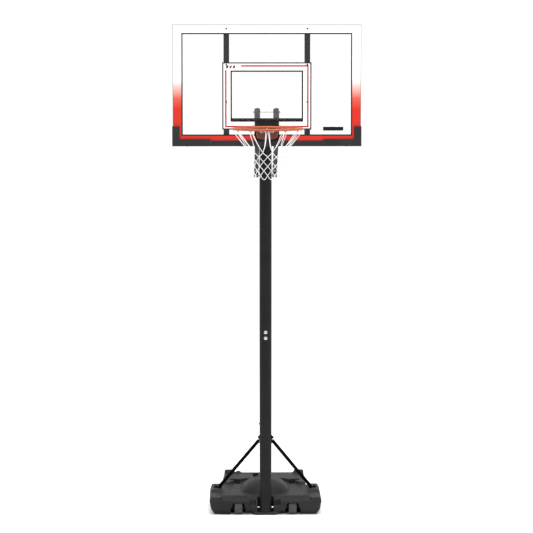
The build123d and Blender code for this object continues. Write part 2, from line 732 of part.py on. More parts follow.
def net_hooks():
    """Small wire loops welded under the ring, one at the very front and the rest evenly round."""
    loop = Torus(HOOK_R, HOOK_WIRE_R)
    solids = []
    for i in range(HOOKS):
        angle = 360 / HOOKS * i
        place = Pos(0, RING_Y, RING_Z - ROD_R + HOOK_DROP) * Rot(0, 0, angle) * Pos(0, -RING_R, 0)
        whole = place * Rot(90, 0, 0) * loop
        whole -= rod_z(RING_R * 2, 0, RING_Y, (RING_Z - ROD_R + HOOK_DROP, RING_Z + ROD_R * 2))
        solids += ring_without_rod(whole).solids()
    return solids


def net():
    """The open funnel that the net's cords lie in."""
    outer = [(NET_TOP_R, NET_TOP_Z), (NET_KNOT_R, NET_KNOT_Z), (NET_MID_R, NET_MID_Z)]
    outer.append((NET_BOTTOM_R, NET_BOTTOM_Z))
    inner = [(r - NET_WALL, z) for r, z in reversed(outer)]
    profile = Plane.XZ * polygon(outer + inner)
    return Pos(0, RING_Y, 0) * revolve(profile, Axis.Z)


# ---------------------------------------------------------------- height adjuster


def elevator_tube():
    tube = rod_z(TUBE_R, 0, ROD_Y, (TUBE_FOOT_Z, TUBE_TOP_Z))
    return tube - rod_z(TUBE_R - TUBE_WALL, 0, ROD_Y, (TUBE_FOOT_Z, TUBE_TOP_Z))


def elevator_head():
    """A plate with a level slot for the arms' rear pin, on a neck that plugs into the tube."""
    low = REAR_PIN_Z - SLOT_BELOW
    high = REAR_PIN_Z + SLOT_ABOVE
    half = HEAD_T / 2
    plate = box((-half, half), (HEAD_FRONT_Y, HEAD_REAR_Y), (low - HEAD_MARGIN, high + HEAD_MARGIN))
    plate = fillet(plate.edges().filter_by(Axis.X), HEAD_MARGIN * 0.8)
    slot = box((-half, half), (SLOT_FRONT_Y, SLOT_REAR_Y), (low, high))
    slot = fillet(slot.edges().filter_by(Axis.X), SLOT_BELOW * 0.8)
    neck_r = TUBE_R - TUBE_WALL - SPIGOT_GAP
    neck = rod_z(neck_r, 0, ROD_Y, (TUBE_TOP_Z - NECK_LENGTH, low - HEAD_MARGIN / 2))
    collar = rod_z(TUBE_R, 0, ROD_Y, (TUBE_TOP_Z, low - HEAD_MARGIN / 2))
    return plate + neck + collar - slot


def tube_bush():
    bush = rod_z(TUBE_R - TUBE_WALL - FIT, 0, ROD_Y, (TUBE_FOOT_Z, TUBE_FOOT_Z + BUSH_LENGTH))
    return bush - rod_z(GUIDE_ROD_R + FIT, 0, ROD_Y, (TUBE_FOOT_Z, TUBE_FOOT_Z + BUSH_LENGTH))


def guide_rod():
    rod = rod_z(GUIDE_ROD_R, 0, ROD_Y, (GUIDE_ROD_FOOT_Z, GUIDE_ROD_TOP_Z))
    low_lug = ADJUSTER_Z["low"]
    return rod + rod_z(GUIDE_ROD_R * 1.5, 0, ROD_Y, (low_lug - 8.0, low_lug))


def adjuster_bracket():
    """A channel behind the pole with two lugs that hold the guide rod."""
    web_y = (POLE_R + GAP, POLE_R + GAP + ADJUSTER_T)
    x = (-ADJUSTER_HALF_W, ADJUSTER_HALF_W)
    low, high = ADJUSTER_Z["low"], ADJUSTER_Z["high"]
    bracket = box(x, web_y, (low, high + ADJUSTER_T))
    for z in (low, high):
        lug = box(x, (web_y[0], ADJUSTER_REAR_Y), (z, z + ADJUSTER_T))
        lug -= rod_z(GUIDE_ROD_R + FIT, 0, ROD_Y, (z, z + ADJUSTER_T))
        bracket += fillet(lug.edges().filter_by(Axis.Z).group_by(Axis.Y)[-1], ADJUSTER_HALF_W / 2)
    for z in CARRIAGE_Z:
        bracket -= rod_y(CARRIAGE_R + FIT, 0, web_y, z)
    return bracket


def carriage_bolts():
    """Round-headed bolts from the front of the pole into the bracket, with their nuts."""
    solids = []
    nut_y = POLE_R + GAP + ADJUSTER_T
    for z in CARRIAGE_Z:
        cap_r = (CARRIAGE_HEAD_R**2 + CARRIAGE_HEAD_H**2) / (2 * CARRIAGE_HEAD_H)
        head_y = -POLE_R - CARRIAGE_HEAD_H
        head = Pos(0, head_y + cap_r, z) * Sphere(cap_r)
        head = head & rod_y(CARRIAGE_HEAD_R + 1, 0, (head_y - 1, -POLE_R + 1.5), z)
        head -= rod_z(POLE_R, 0, 0, span(z, CARRIAGE_HEAD_R * 2))
        bolt = head + rod_y(CARRIAGE_R, 0, (-POLE_R - 1, nut_y + CARRIAGE_R * 3), z)
        nut = Pos(0, nut_y, z) * Rot(-90, 0, 0) * hex_nut(CARRIAGE_R, CARRIAGE_R * 1.7)
        solids += [bolt, nut]
    return solids


def handle():
    """A moulded grip on the tube with a finger loop behind it and a hollow for the lock plates."""
    x = (-HANDLE_HALF_W, HANDLE_HALF_W)
    body = box(x, (HANDLE_FRONT_Y, HANDLE_REAR_Y), (HANDLE_FOOT_Z, HANDLE_TOP_Z))
    body = fillet(body.edges().filter_by(Axis.X), HANDLE_ROUND)
    loop = box(x, (LOOP_FRONT_Y, LOOP_REAR_Y), (LOOP_FOOT_Z, LOOP_TOP_Z))
    body -= fillet(loop.edges().filter_by(Axis.X), LOOP_ROUND)
    body -= rod_z(TUBE_R + FIT, 0, ROD_Y, (TUBE_FOOT_Z, HANDLE_TOP_Z))
    body -= rod_z(GUIDE_ROD_R + GAP * 2, 0, ROD_Y, (HANDLE_FOOT_Z, TUBE_FOOT_Z))
    hollow = TUBE_R + 2.0
    body -= box((-hollow, hollow), span(ROD_Y, hollow), (LOCK_FLOOR_Z, LOCK_ROOF_Z))
    grip_slot = TRIGGER_HALF_W + GAP
    top = (LOOP_TOP_Z - TRIGGER_T, HANDLE_PIN_Z + TRIGGER_T)
    body -= box((-grip_slot, grip_slot), span(TRIGGER_PIVOT_Y, TRIGGER_T), top)
    return body - rod_x(TRIGGER_PIN_R + THREAD_GAP, x, TRIGGER_PIVOT_Y, HANDLE_PIN_Z)


def lock_plates():
    """Two square plates that grip the guide rod when they tip."""
    solids = []
    half = TUBE_R
    for z in LOCK_PLATE_Z:
        plate = box((-half, half), span(ROD_Y, half), (z, z + LOCK_PLATE_T))
        solids.append(plate - rod_z(GUIDE_ROD_R + FIT, 0, ROD_Y, (z, z + LOCK_PLATE_T)))
    return solids


def trigger():
    """A lever that hangs in the loop from its pin, with a broad finger pad."""
    x = (-TRIGGER_HALF_W, TRIGGER_HALF_W)
    half = TRIGGER_T / 2
    lever = box(x, span(TRIGGER_PIVOT_Y, half), (HANDLE_PIN_Z - TRIGGER_LENGTH, HANDLE_PIN_Z))
    lever += rod_x(half, x, TRIGGER_PIVOT_Y, HANDLE_PIN_Z)
    lever += rod_x(half, x, TRIGGER_PIVOT_Y, HANDLE_PIN_Z - TRIGGER_LENGTH)
    return lever - rod_x(TRIGGER_PIN_R + FIT, x, TRIGGER_PIVOT_Y, HANDLE_PIN_Z)


def trigger_pin():
    x = (-HANDLE_HALF_W + 1.0, HANDLE_HALF_W - 1.0)
    return rod_x(TRIGGER_PIN_R, x, TRIGGER_PIVOT_Y, HANDLE_PIN_Z)


# ---------------------------------------------------------------- counterbalance


def anchor_screw_heights():
    return span(ANCHOR_Z, ANCHOR_HALF_H * 0.6)


def spring_anchor():
    """A channel on the back of the pole with a stud on each cheek for a spring's hook."""
    web_y = (POLE_R + GAP, POLE_R + GAP + ANCHOR_T)
    z = span(ANCHOR_Z, ANCHOR_HALF_H)
    anchor = box((-ANCHOR_HALF_W, ANCHOR_HALF_W), web_y, z)
    for side in SIDES.values():
        cheek_x = sorted((side * (ANCHOR_HALF_W - ANCHOR_T), side * ANCHOR_HALF_W))
        anchor += box(cheek_x, (web_y[0], COUNTER_Y + ANCHOR_LIP), z)
        stud_x = sorted((side * (COUNTER_X - COUNTER_R), side * (ANCHOR_HALF_W - ANCHOR_T)))
        anchor += rod_x(ANCHOR_STUD_R, stud_x, COUNTER_Y, ANCHOR_Z)
    for screw_z in anchor_screw_heights():
        anchor -= rod_y(ANCHOR_STUD_R + FIT, 0, web_y, screw_z)
    return anchor


def anchor_screws():
    solids = []
    face_y = POLE_R + GAP + ANCHOR_T
    for z in anchor_screw_heights():
        head = Pos(0, face_y, z) * Rot(-90, 0, 0) * hexagon(ANCHOR_STUD_R, ANCHOR_STUD_R * HEAD_FACTOR)
        solids.append(head + rod_y(ANCHOR_STUD_R, 0, (POLE_R - ANCHOR_SCREW_IN, face_y), z))
    return solids


def counter_springs():
    """Two long extension springs, as plain sleeves between their hooks."""
    solids = []
    z = (ANCHOR_Z + ANCHOR_STUD_R + HOOK_ROOM, REAR_PIN_Z - REAR_PIN_R - HOOK_ROOM)
    for side in SIDES.values():
        sleeve = rod_z(COUNTER_R, side * COUNTER_X, COUNTER_Y, z)
        solids.append(sleeve - rod_z(COUNTER_BORE_R, side * COUNTER_X, COUNTER_Y, z))
    return solids


# ---------------------------------------------------------------- braces


def strut(side):
    """A tube brace with a flat tab on the pole's side and another on the base's shoulder."""
    tab_x = side * (POLE_R + GAP + TAB_T / 2)
    tab_z = BRACE_PAD_Z + TAB_T / 2 + GAP
    down = math.atan2(STRUT_TOP_Z - tab_z, STRUT_FOOT_Y)
    plan = math.atan2(STRUT_FOOT_Y, STRUT_FOOT_X - POLE_R)
    start_z = STRUT_TOP_Z - TAB_LENGTH * math.sin(down)
    start = (tab_x + side * TAB_BEND_OUT, TAB_LENGTH * math.cos(down), start_z)
    end_x = side * (STRUT_FOOT_X - TAB_LENGTH * math.cos(plan))
    end = (end_x, STRUT_FOOT_Y - TAB_LENGTH * math.sin(plan), tab_z + TAB_BEND_UP)
    direction = Vector(*end) - Vector(*start)
    length = direction.length
    across = Plane(origin=start, z_dir=direction)
    tube = across * (Pos(0, 0, length / 2) * Cylinder(STRUT_R, length))
    bore = across * (Pos(0, 0, length / 2) * Cylinder(STRUT_R - STRUT_WALL, length - 2 * STRUT_R))
    tube += Pos(*start) * Sphere(STRUT_R)
    tube += Pos(*end) * Sphere(STRUT_R)
    tube -= bore
    top_tab = arm_profile((0.0, STRUT_TOP_Z), (start[1], start[2]), TAB_W)
    tube += prism_x(top_tab, span(tab_x, TAB_T / 2))
    foot_tab = arm_profile((side * STRUT_FOOT_X, STRUT_FOOT_Y), (end[0], end[1]), TAB_W)
    tube += prism_z(foot_tab, span(tab_z, TAB_T / 2))
    tube -= box(span(0, POLE_R + GAP), span(0, POLE_R * 2), span(STRUT_TOP_Z, POLE_R * 2))
    tube -= box(span(0, BASE_HALF_W), (0, BASE_STEP_Y), (0, BRACE_PAD_Z + GAP))
    tube -= rod_x(PIVOT_R + FIT, span(tab_x, TAB_T), 0, STRUT_TOP_Z)
    return tube - rod_z(PIVOT_R + FIT, side * STRUT_FOOT_X, STRUT_FOOT_Y, span(tab_z, TAB_T))


def strut_top_bolt():
    outside = POLE_R + GAP + TAB_T
    return bolt_along_x(PIVOT_R, (-outside, outside), 0, STRUT_TOP_Z)


def strut_foot_bolts():
    """A bolt with a broad washer through each foot tab into the base."""
    solids = []
    face_z = BRACE_PAD_Z + GAP + TAB_T
    for side in SIDES.values():
        washer = rod_z(PIVOT_R * WASHER_FACTOR, 0, 0, (0, WASHER_T))
        head = Pos(0, 0, WASHER_T) * hexagon(PIVOT_R, PIVOT_R * HEAD_FACTOR)
        shank = rod_z(PIVOT_R, 0, 0, (-FOOT_BOLT_LENGTH, 0))
        solids.append(Pos(side * STRUT_FOOT_X, STRUT_FOOT_Y, face_z) * (washer + head + shank))
    return solids


# ---------------------------------------------------------------- base


def base_outline(inset):
    w, r = BASE_HALF_W, BASE_REAR_HALF_W
    corners = [(-w, BASE_FRONT_Y), (w, BASE_FRONT_Y), (w, BASE_STEP_Y), (r, BASE_STEP_Y)]
    corners += [(r, BASE_REAR_Y), (-r, BASE_REAR_Y), (-r, BASE_STEP_Y), (-w, BASE_STEP_Y)]
    outline = polygon(corners)
    outline = fillet(outline.vertices(), BASE_CORNER_R)
    return offset(outline, amount=-inset) if inset else outline


def base_block(inset, top_z):
    """The tank's plain body, widest at its belt line and tucked in at its foot."""
    outline = Pos(0, 0, BASE_BELT_Z) * base_outline(inset)
    lower = extrude(outline, amount=BASE_TUCK_Z - BASE_BELT_Z, taper=BASE_DRAFT)
    foot = extrude(lower.faces().sort_by(Axis.Z)[0], amount=BASE_TUCK_Z - inset, taper=BASE_TUCK)
    upper = extrude(outline, amount=top_z - BASE_BELT_Z, taper=BASE_DRAFT)
    return lower + foot + upper


def stadium(radius, z):
    """A block with round ends under the dome's outline."""
    middle = (DOME_FRONT_Y + DOME_REAR_Y) / 2
    shape = Pos(0, middle) * Rot(0, 0, 90) * SlotCenterToCenter(DOME_REAR_Y - DOME_FRONT_Y, radius * 2)
    return prism_z(shape, z)


def dome(shrink):
    """The long rounded crown in the middle of the tank."""
    radius = DOME_R - shrink
    centre_z = DOME_TOP_Z - DOME_R
    crown = rod_y(radius, 0, (DOME_FRONT_Y, DOME_REAR_Y), centre_z)
    crown += Pos(0, DOME_FRONT_Y, centre_z) * Sphere(radius)
    crown += Pos(0, DOME_REAR_Y, centre_z) * Sphere(radius)
    return crown & stadium(DOME_R, (TRAY_Z - 2 * BASE_WALL, DOME_TOP_Z + 1))


def wheel_pocket(side, grow):
    shape = offset(polygon([(side * x, z) for x, z in WHEEL_POCKET]), amount=grow, kind=Kind.INTERSECTION)
    pocket = prism_y(shape, (BASE_FRONT_Y - CUT, POCKET_END_Y + grow))
    x = span(side * WHEEL_X, WHEEL_HALF_W + WHEEL_ROOM + grow)
    well_y = (BASE_FRONT_Y + WHEEL_WELL[0] - grow, WHEEL_WELL[1] + grow)
    return pocket + box(x, well_y, (AXLE_Z, AXLE_Z + WHEEL_R + WHEEL_ROOM + grow))


def front_pockets(grow):
    """Two square pockets in the front wall beside the pole."""
    y = (BASE_FRONT_Y - CUT, BASE_FRONT_Y + FRONT_POCKET_DEPTH + grow)
    z = (FRONT_POCKET_Z[0] - grow, FRONT_POCKET_Z[1] + grow)
    left, right = [box((x[0] - grow, x[1] + grow), y, z) for x in FRONT_POCKET_X.values()]
    return left + right


def hollows(grow):
    """Every recess in the tank's outer surface, made larger all round by grow."""
    ahead = BASE_FRONT_Y - CUT
    sill = box(span(0, SILL_HALF_W), (ahead, POCKET_END_Y + grow), (-CUT, SILL_Z + grow))
    if not grow:
        sill -= box(span(0, FOOT_HALF_W[1] + 1), (ahead, SLOT_END_Y), (-CUT, SILL_Z))
    slot_y = (ahead, SLOT_END_Y + grow)
    slot = box(span(0, SLOT_HALF_W + grow), slot_y, (SLOT_FLOOR_Z - grow, DOME_TOP_Z + 1))
    slope = [(BASE_FRONT_Y - 2 * CUT, WEDGE_FRONT_Z - grow), (WEDGE_REAR_Y, BASE_TOP_Z - grow)]
    slope += [(WEDGE_REAR_Y, DECK_Z + CUT), (BASE_FRONT_Y - 2 * CUT, DECK_Z + CUT)]
    wedge = prism_x(polygon(slope), span(0, WEDGE_HALF_W))
    cuts = sill + slot + wedge + front_pockets(grow)
    for side in SIDES.values():
        cuts += wheel_pocket(side, grow)
        recess_x = sorted((side * (RECESS_X[0] - grow), side * (RECESS_X[1] + grow)))
        cuts += box(recess_x, (RECESS_Y[0] - grow, RECESS_Y[1] + grow), (RECESS_Z - grow, DECK_Z + CUT))
    reach = AXLE_HALF_L + WHEEL_ROOM + grow
    return cuts + rod_x(AXLE_R + FIT + grow, (-reach, reach), 0, AXLE_Z)


def rear_deck(inset):
    """The raised deck behind the crown, with its front edge on the tray's curve."""
    y = (DECK_FRONT_Y + inset, DECK_REAR_Y - inset)
    deck = box(span(0, DECK_HALF_W - inset), y, (BASE_TOP_Z - BASE_WALL - 1, DECK_Z - inset))
    deck = chamfer(deck.edges().group_by(Axis.Z)[-1], DECK_EDGE)
    return deck - stadium(TRAY_R + inset, (TRAY_Z - inset, DECK_Z + 1))


def raised_block(side, x, y, top_z, edge):
    """A block that stands on the tank's top, with its upper edges cut back."""
    block = box(sorted((side * x[0], side * x[1])), y, (BASE_TOP_Z - 2, top_z))
    return chamfer(block.edges().group_by(Axis.Z)[-1], edge)


def raised_parts():
    """Shoulders under the braces, rear corner blocks, front ribs and the foot under the pole."""
    low_w, high_w = FOOT_HALF_W
    foot = polygon([(-low_w, 0), (low_w, 0), (high_w, SILL_Z + 1), (-high_w, SILL_Z + 1)])
    parts = prism_y(foot, (BASE_FRONT_Y, SLOT_END_Y))
    for side in SIDES.values():
        parts += raised_block(side, BRACE_PAD_X, BRACE_PAD_Y, BRACE_PAD_Z, RAISED_EDGE)
        corner_y = (CORNER_BLOCK_FRONT_Y, DECK_REAR_Y)
        parts += raised_block(side, CORNER_BLOCK_X, corner_y, DECK_Z + CORNER_BLOCK_H, RAISED_EDGE)
        parts += raised_block(side, RIB_X, RIB_Y, BASE_TOP_Z + RIB_H, RIB_EDGE)
    return parts + raised_block(1, BUMP_X, BUMP_Y, DECK_Z + BUMP_H, RAISED_EDGE)


def base_cavity(inset, top_z):
    """The tank's inside, kept clear of every hollow by the wall's thickness."""
    space = base_block(inset, top_z) - hollows(inset)
    return space - stadium(TRAY_R + inset, (TRAY_Z - inset, BASE_TOP_Z + CUT))


def base_shell():
    body = base_block(0, BASE_TOP_Z) - stadium(TRAY_R, (TRAY_Z, BASE_TOP_Z + CUT))
    body += dome(0) + rear_deck(0) + raised_parts()
    body -= hollows(0)
    body -= base_cavity(BASE_WALL, BASE_TOP_Z - BASE_WALL)
    body -= rear_deck(BASE_WALL) - hollows(BASE_WALL)
    body -= dome(BASE_WALL)
    for side in SIDES.values():
        body -= rod_z(PIVOT_R + FIT, side * STRUT_FOOT_X, STRUT_FOOT_Y, (BASE_TOP_Z - CUT, BRACE_PAD_Z))
    return body - rod_z(FILL_CAP_R - FILL_LIP, FILL_CAP_X, FILL_CAP_Y, (BASE_TOP_Z + CUT, DOME_TOP_Z))


def base_ballast():
    """Sand that fills the tank most of the way up."""
    return base_cavity(BASE_WALL + 1.0, BALLAST_TOP_Z)


def cap_height():
    """Where the crown's surface lies under the fill cap's lowest edge."""
    off_y = FILL_CAP_Y - DOME_REAR_Y
    reach = math.hypot(FILL_CAP_X, off_y) - FILL_CAP_R
    return DOME_TOP_Z - DOME_R + math.sqrt(DOME_R**2 - reach**2)


def fill_cap():
    """A ribbed screw cap on the crown, with a hollow plug in the filling hole."""
    low = cap_height() + GAP
    cap = rod_z(FILL_CAP_R, FILL_CAP_X, FILL_CAP_Y, (low, low + FILL_CAP_H))
    cap = chamfer(cap.edges().group_by(Axis.Z)[-1], FILL_CAP_EDGE)
    plug_r = FILL_CAP_R - FILL_LIP - GAP
    plug_z = (low - FILL_PLUG_H, low)
    plug = rod_z(plug_r, FILL_CAP_X, FILL_CAP_Y, plug_z)
    plug -= rod_z(plug_r - FILL_PLUG_WALL, FILL_CAP_X, FILL_CAP_Y, plug_z)
    return cap + plug


def drain_cap():
    """A round screw cap at the back of the right front pocket."""
    seat = BASE_FRONT_Y + FRONT_POCKET_DEPTH - GAP
    front = seat - DRAIN_CAP_H
    cap = rod_y(DRAIN_R, DRAIN_X, (front, seat), DRAIN_Z)
    cap = chamfer(cap.edges().group_by(Axis.Y)[0], DRAIN_EDGE)
    grip_x = span(DRAIN_X, DRAIN_R - DRAIN_GRIP)
    return cap + box(grip_x, (front - DRAIN_GRIP, front), span(DRAIN_Z, DRAIN_GRIP_HALF_T))


def axle():
    return rod_x(AXLE_R, (-AXLE_HALF_L, AXLE_HALF_L), 0, AXLE_Z)


def wheel(side):
    """A moulded wheel with a recessed web on both faces and a running bore."""
    x = span(side * WHEEL_X, WHEEL_HALF_W)
    body = rod_x(WHEEL_R, x, 0, AXLE_Z)
    body = chamfer(body.edges().filter_by(GeomType.CIRCLE), WHEEL_EDGE)
    for face in x:
        recess = rod_x(WHEEL_R - WHEEL_TREAD_T, span(face, WHEEL_RECESS), 0, AXLE_Z)
        body -= recess - rod_x(AXLE_R * 2, span(face, WHEEL_RECESS), 0, AXLE_Z)
    return body - rod_x(AXLE_R + FIT, x, 0, AXLE_Z)


def save(name, solids):
    shape = Compound(children=list(solids)) if isinstance(solids, list) else solids
    export_step(shape, f"parts/{name}.step")


os.makedirs("parts", exist_ok=True)

save("base_shell", base_shell())
save("base_ballast", base_ballast())
save("fill_cap", fill_cap())
save("drain_cap", drain_cap())
save("axle", axle())
save("pole_bottom", pole_bottom())
save("pole_middle", pole_middle())
save("pole_top", pole_top())
save("pole_cap", pole_cap())
save("pole_screw", pole_screw())
save("brace_top_bolt", strut_top_bolt())
save("brace_foot_bolts", strut_foot_bolts())
save("adjuster_bracket", adjuster_bracket())
save("carriage_bolts", carriage_bolts())
save("guide_rod", guide_rod())
save("spring_anchor", spring_anchor())
save("anchor_screws", anchor_screws())
save("counter_springs", counter_springs())
save("pole_bolt_upper", pole_pivot_bolt(UPPER_PIVOT_Z))
save("pole_bolt_lower", pole_pivot_bolt(LOWER_PIVOT_Z))
save("board_bolt_upper", board_pivot_bolt(BOARD_UPPER_Z))
save("board_bolt_lower", board_pivot_bolt(BOARD_LOWER_Z))
save("rear_pin", rear_pin())
save("elevator_tube", elevator_tube())
save("elevator_head", elevator_head())
save("tube_bush", tube_bush())
save("handle", handle())
save("lock_plates", lock_plates())
save("trigger", trigger())
save("trigger_pin", trigger_pin())
save("backboard_panel", backboard_panel())
save("edge_trim", edge_trim())
save("backboard_pad", backboard_pad())
save("pad_screws", pad_screws())
save("panel_screws", panel_screws())
save("rim_mount", rim_mount())
save("rim_bolts", rim_bolts())
save("rim_pivot_pin", rim_pivot_pin())
save("rim_springs", rim_springs())
save("rim_ring", rim_ring())
save("rim_plate", rim_plate())
save("rim_brace", rim_brace())
save("net_hooks", net_hooks())
save("net", net())
for level in CROSSBAR_Z:
    save(f"frame_crossbar_{level}", frame_crossbar(level))
for name, side in SIDES.items():
    save(f"wheel_{name}", wheel(side))
    save(f"brace_{name}", strut(side))
    save(f"upper_arm_{name}", upper_arm(side))
    save(f"lower_arm_{name}", lower_arm(side))
    save(f"frame_upright_{name}", frame_upright(side))
    save(f"board_bracket_{name}", board_bracket(side))
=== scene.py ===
# %% [markdown]
# # A portable basketball hoop
# A clear board on a steel frame hangs on four arms from a round pole, and the pole stands in the
# front edge of a hollow tank on wheels. The lesson starts from the finished engineering model and
# gives each piece the shape, softness and surface that the real one has.
# Lengths are in metres, +Z is up, and the court lies towards -Y.

# %% Load the engineering model
import json
import math

import bpy
from mathutils import Matrix, Vector

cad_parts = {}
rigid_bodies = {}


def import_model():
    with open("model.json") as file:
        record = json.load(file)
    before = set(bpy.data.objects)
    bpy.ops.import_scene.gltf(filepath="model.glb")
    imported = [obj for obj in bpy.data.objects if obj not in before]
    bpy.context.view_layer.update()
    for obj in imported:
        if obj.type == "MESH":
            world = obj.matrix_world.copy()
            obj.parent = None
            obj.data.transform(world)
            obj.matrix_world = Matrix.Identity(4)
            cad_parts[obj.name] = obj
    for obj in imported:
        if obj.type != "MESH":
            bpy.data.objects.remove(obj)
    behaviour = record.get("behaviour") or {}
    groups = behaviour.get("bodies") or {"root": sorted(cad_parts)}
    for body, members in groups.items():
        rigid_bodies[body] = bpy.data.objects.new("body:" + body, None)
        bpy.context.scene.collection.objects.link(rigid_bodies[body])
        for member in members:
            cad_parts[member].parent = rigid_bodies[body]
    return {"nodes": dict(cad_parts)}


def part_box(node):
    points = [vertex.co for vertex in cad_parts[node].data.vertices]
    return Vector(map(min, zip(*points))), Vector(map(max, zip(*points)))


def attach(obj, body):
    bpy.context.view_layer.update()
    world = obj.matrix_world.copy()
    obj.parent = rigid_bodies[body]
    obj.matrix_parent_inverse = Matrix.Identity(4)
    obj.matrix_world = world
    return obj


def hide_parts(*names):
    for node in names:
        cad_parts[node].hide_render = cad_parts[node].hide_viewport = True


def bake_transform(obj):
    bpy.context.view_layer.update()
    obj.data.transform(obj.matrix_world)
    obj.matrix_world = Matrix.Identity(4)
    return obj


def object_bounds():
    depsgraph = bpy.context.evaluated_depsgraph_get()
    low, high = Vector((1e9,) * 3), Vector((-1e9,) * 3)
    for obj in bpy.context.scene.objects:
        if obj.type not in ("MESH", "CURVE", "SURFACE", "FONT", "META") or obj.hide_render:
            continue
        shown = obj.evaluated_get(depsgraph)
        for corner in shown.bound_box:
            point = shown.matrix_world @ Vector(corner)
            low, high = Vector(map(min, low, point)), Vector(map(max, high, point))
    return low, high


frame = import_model()
cad_low, cad_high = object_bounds()
print("nodes", len(frame["nodes"]), "box", [round(v, 3) for v in cad_high - cad_low])

# %% [markdown]
# ## Small helpers
# An operator works on whatever is selected, and the loaded model arrives selected. So every step
# first lets go of everything, and a finished piece has its place stored in its mesh.

# %% Selecting and finishing
MM = 0.001
SIDES = {"left": -1, "right": 1}


def let_go():
    """Leaves edit mode and deselects everything."""
    if bpy.context.object and bpy.context.object.mode != "OBJECT":
        bpy.ops.object.mode_set(mode="OBJECT")
    bpy.ops.object.select_all(action="DESELECT")


def hold(piece):
    """Selects one piece and makes it active."""
    let_go()
    piece.select_set(True)
    bpy.context.view_layer.objects.active = piece


def settle(piece):
    """Moves a piece's place, turn and size into its mesh."""
    hold(piece)
    bpy.ops.object.transform_apply(location=True, rotation=True, scale=True)


def pick_faces(piece, test):
    """Opens edit mode with only the faces selected that pass test(middle, normal)."""
    hold(piece)
    mesh = piece.data
    mesh.vertices.foreach_set("select", [False] * len(mesh.vertices))
    mesh.edges.foreach_set("select", [False] * len(mesh.edges))
    mesh.polygons.foreach_set("select", [bool(test(f.center, f.normal)) for f in mesh.polygons])
    bpy.context.tool_settings.mesh_select_mode = (False, False, True)
    bpy.ops.object.mode_set(mode="EDIT")


def pick_points(piece, test):
    """Opens edit mode with only the vertices selected that pass test(place)."""
    hold(piece)
    mesh = piece.data
    mesh.polygons.foreach_set("select", [False] * len(mesh.polygons))
    mesh.edges.foreach_set("select", [False] * len(mesh.edges))
    mesh.vertices.foreach_set("select", [bool(test(v.co)) for v in mesh.vertices])
    bpy.context.tool_settings.mesh_select_mode = (True, False, False)
    bpy.ops.object.mode_set(mode="EDIT")


def edit_all(piece):
    hold(piece)
    bpy.ops.object.mode_set(mode="EDIT")
    bpy.ops.mesh.select_all(action="SELECT")


def fix_normals(piece):
    """Merges doubles and turns every face outwards."""
    edit_all(piece)
    bpy.ops.mesh.remove_doubles(threshold=1e-6)
    bpy.ops.mesh.normals_make_consistent(inside=False)
    let_go()


def add_modifier(piece, kind, **settings):
    """Adds a modifier with its settings and applies it."""
    hold(piece)
    modifier = piece.modifiers.new(kind.lower(), kind)
    for key, value in settings.items():
        setattr(modifier, key, value)
    bpy.ops.object.modifier_apply(modifier=modifier.name)


def smooth(piece, degrees=32):
    hold(piece)
    bpy.ops.object.shade_smooth_by_angle(angle=math.radians(degrees))
    let_go()


def join(name, pieces):
    """Joins several meshes into one piece."""
    let_go()
    for piece in pieces:
        piece.select_set(True)
    bpy.context.view_layer.objects.active = pieces[0]
    bpy.ops.object.join()
    pieces[0].name = name
    let_go()
    return pieces[0]


def place(piece, body, material, *nodes, slot=None):
    """Dresses a finished piece, puts it on its body and hides the nodes that it stands for."""
    piece.data.materials.clear()
    piece.data.materials.append(material)
    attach(piece, body)
    if nodes:
        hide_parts(*nodes)
    count = len(piece.data.polygons) if piece.type == "MESH" else 0
    print(piece.name, "on", body, "faces", count)


# %% [markdown]
# ## Softening a machined shape
# Real sheet and moulded parts have no knife edges. A copy of a model's mesh is loose triangles, so
# it is merged, its flat areas are joined again, and a bevel rounds what is left.


# %% Copy, merge and bevel
def merged_copy(node, name):
    hold(frame["nodes"][node])
    bpy.ops.object.duplicate()
    piece = bpy.context.object
    for key in list(piece.keys()):
        del piece[key]
    piece.parent = None
    piece.name = name
    fix_normals(piece)
    return piece


def softened(node, name, radius, segments=3, angle=28):
    piece = merged_copy(node, name)
    edit_all(piece)
    bpy.ops.mesh.dissolve_limited(angle_limit=math.radians(1.5))
    let_go()
    add_modifier(piece, "BEVEL", width=radius, segments=segments, limit_method="ANGLE",
                 angle_limit=math.radians(angle), use_clamp_overlap=True, harden_normals=False)
    smooth(piece, 35)
    return piece


# %% [markdown]
# ## Materials
# Each finish is a small network on Object coordinates: a fine noise moves the colour and the
# roughness a little, and a second one drives a bump of the right size, from the orange peel of
# powder paint to the pebbled skin of a blow-moulded tank.


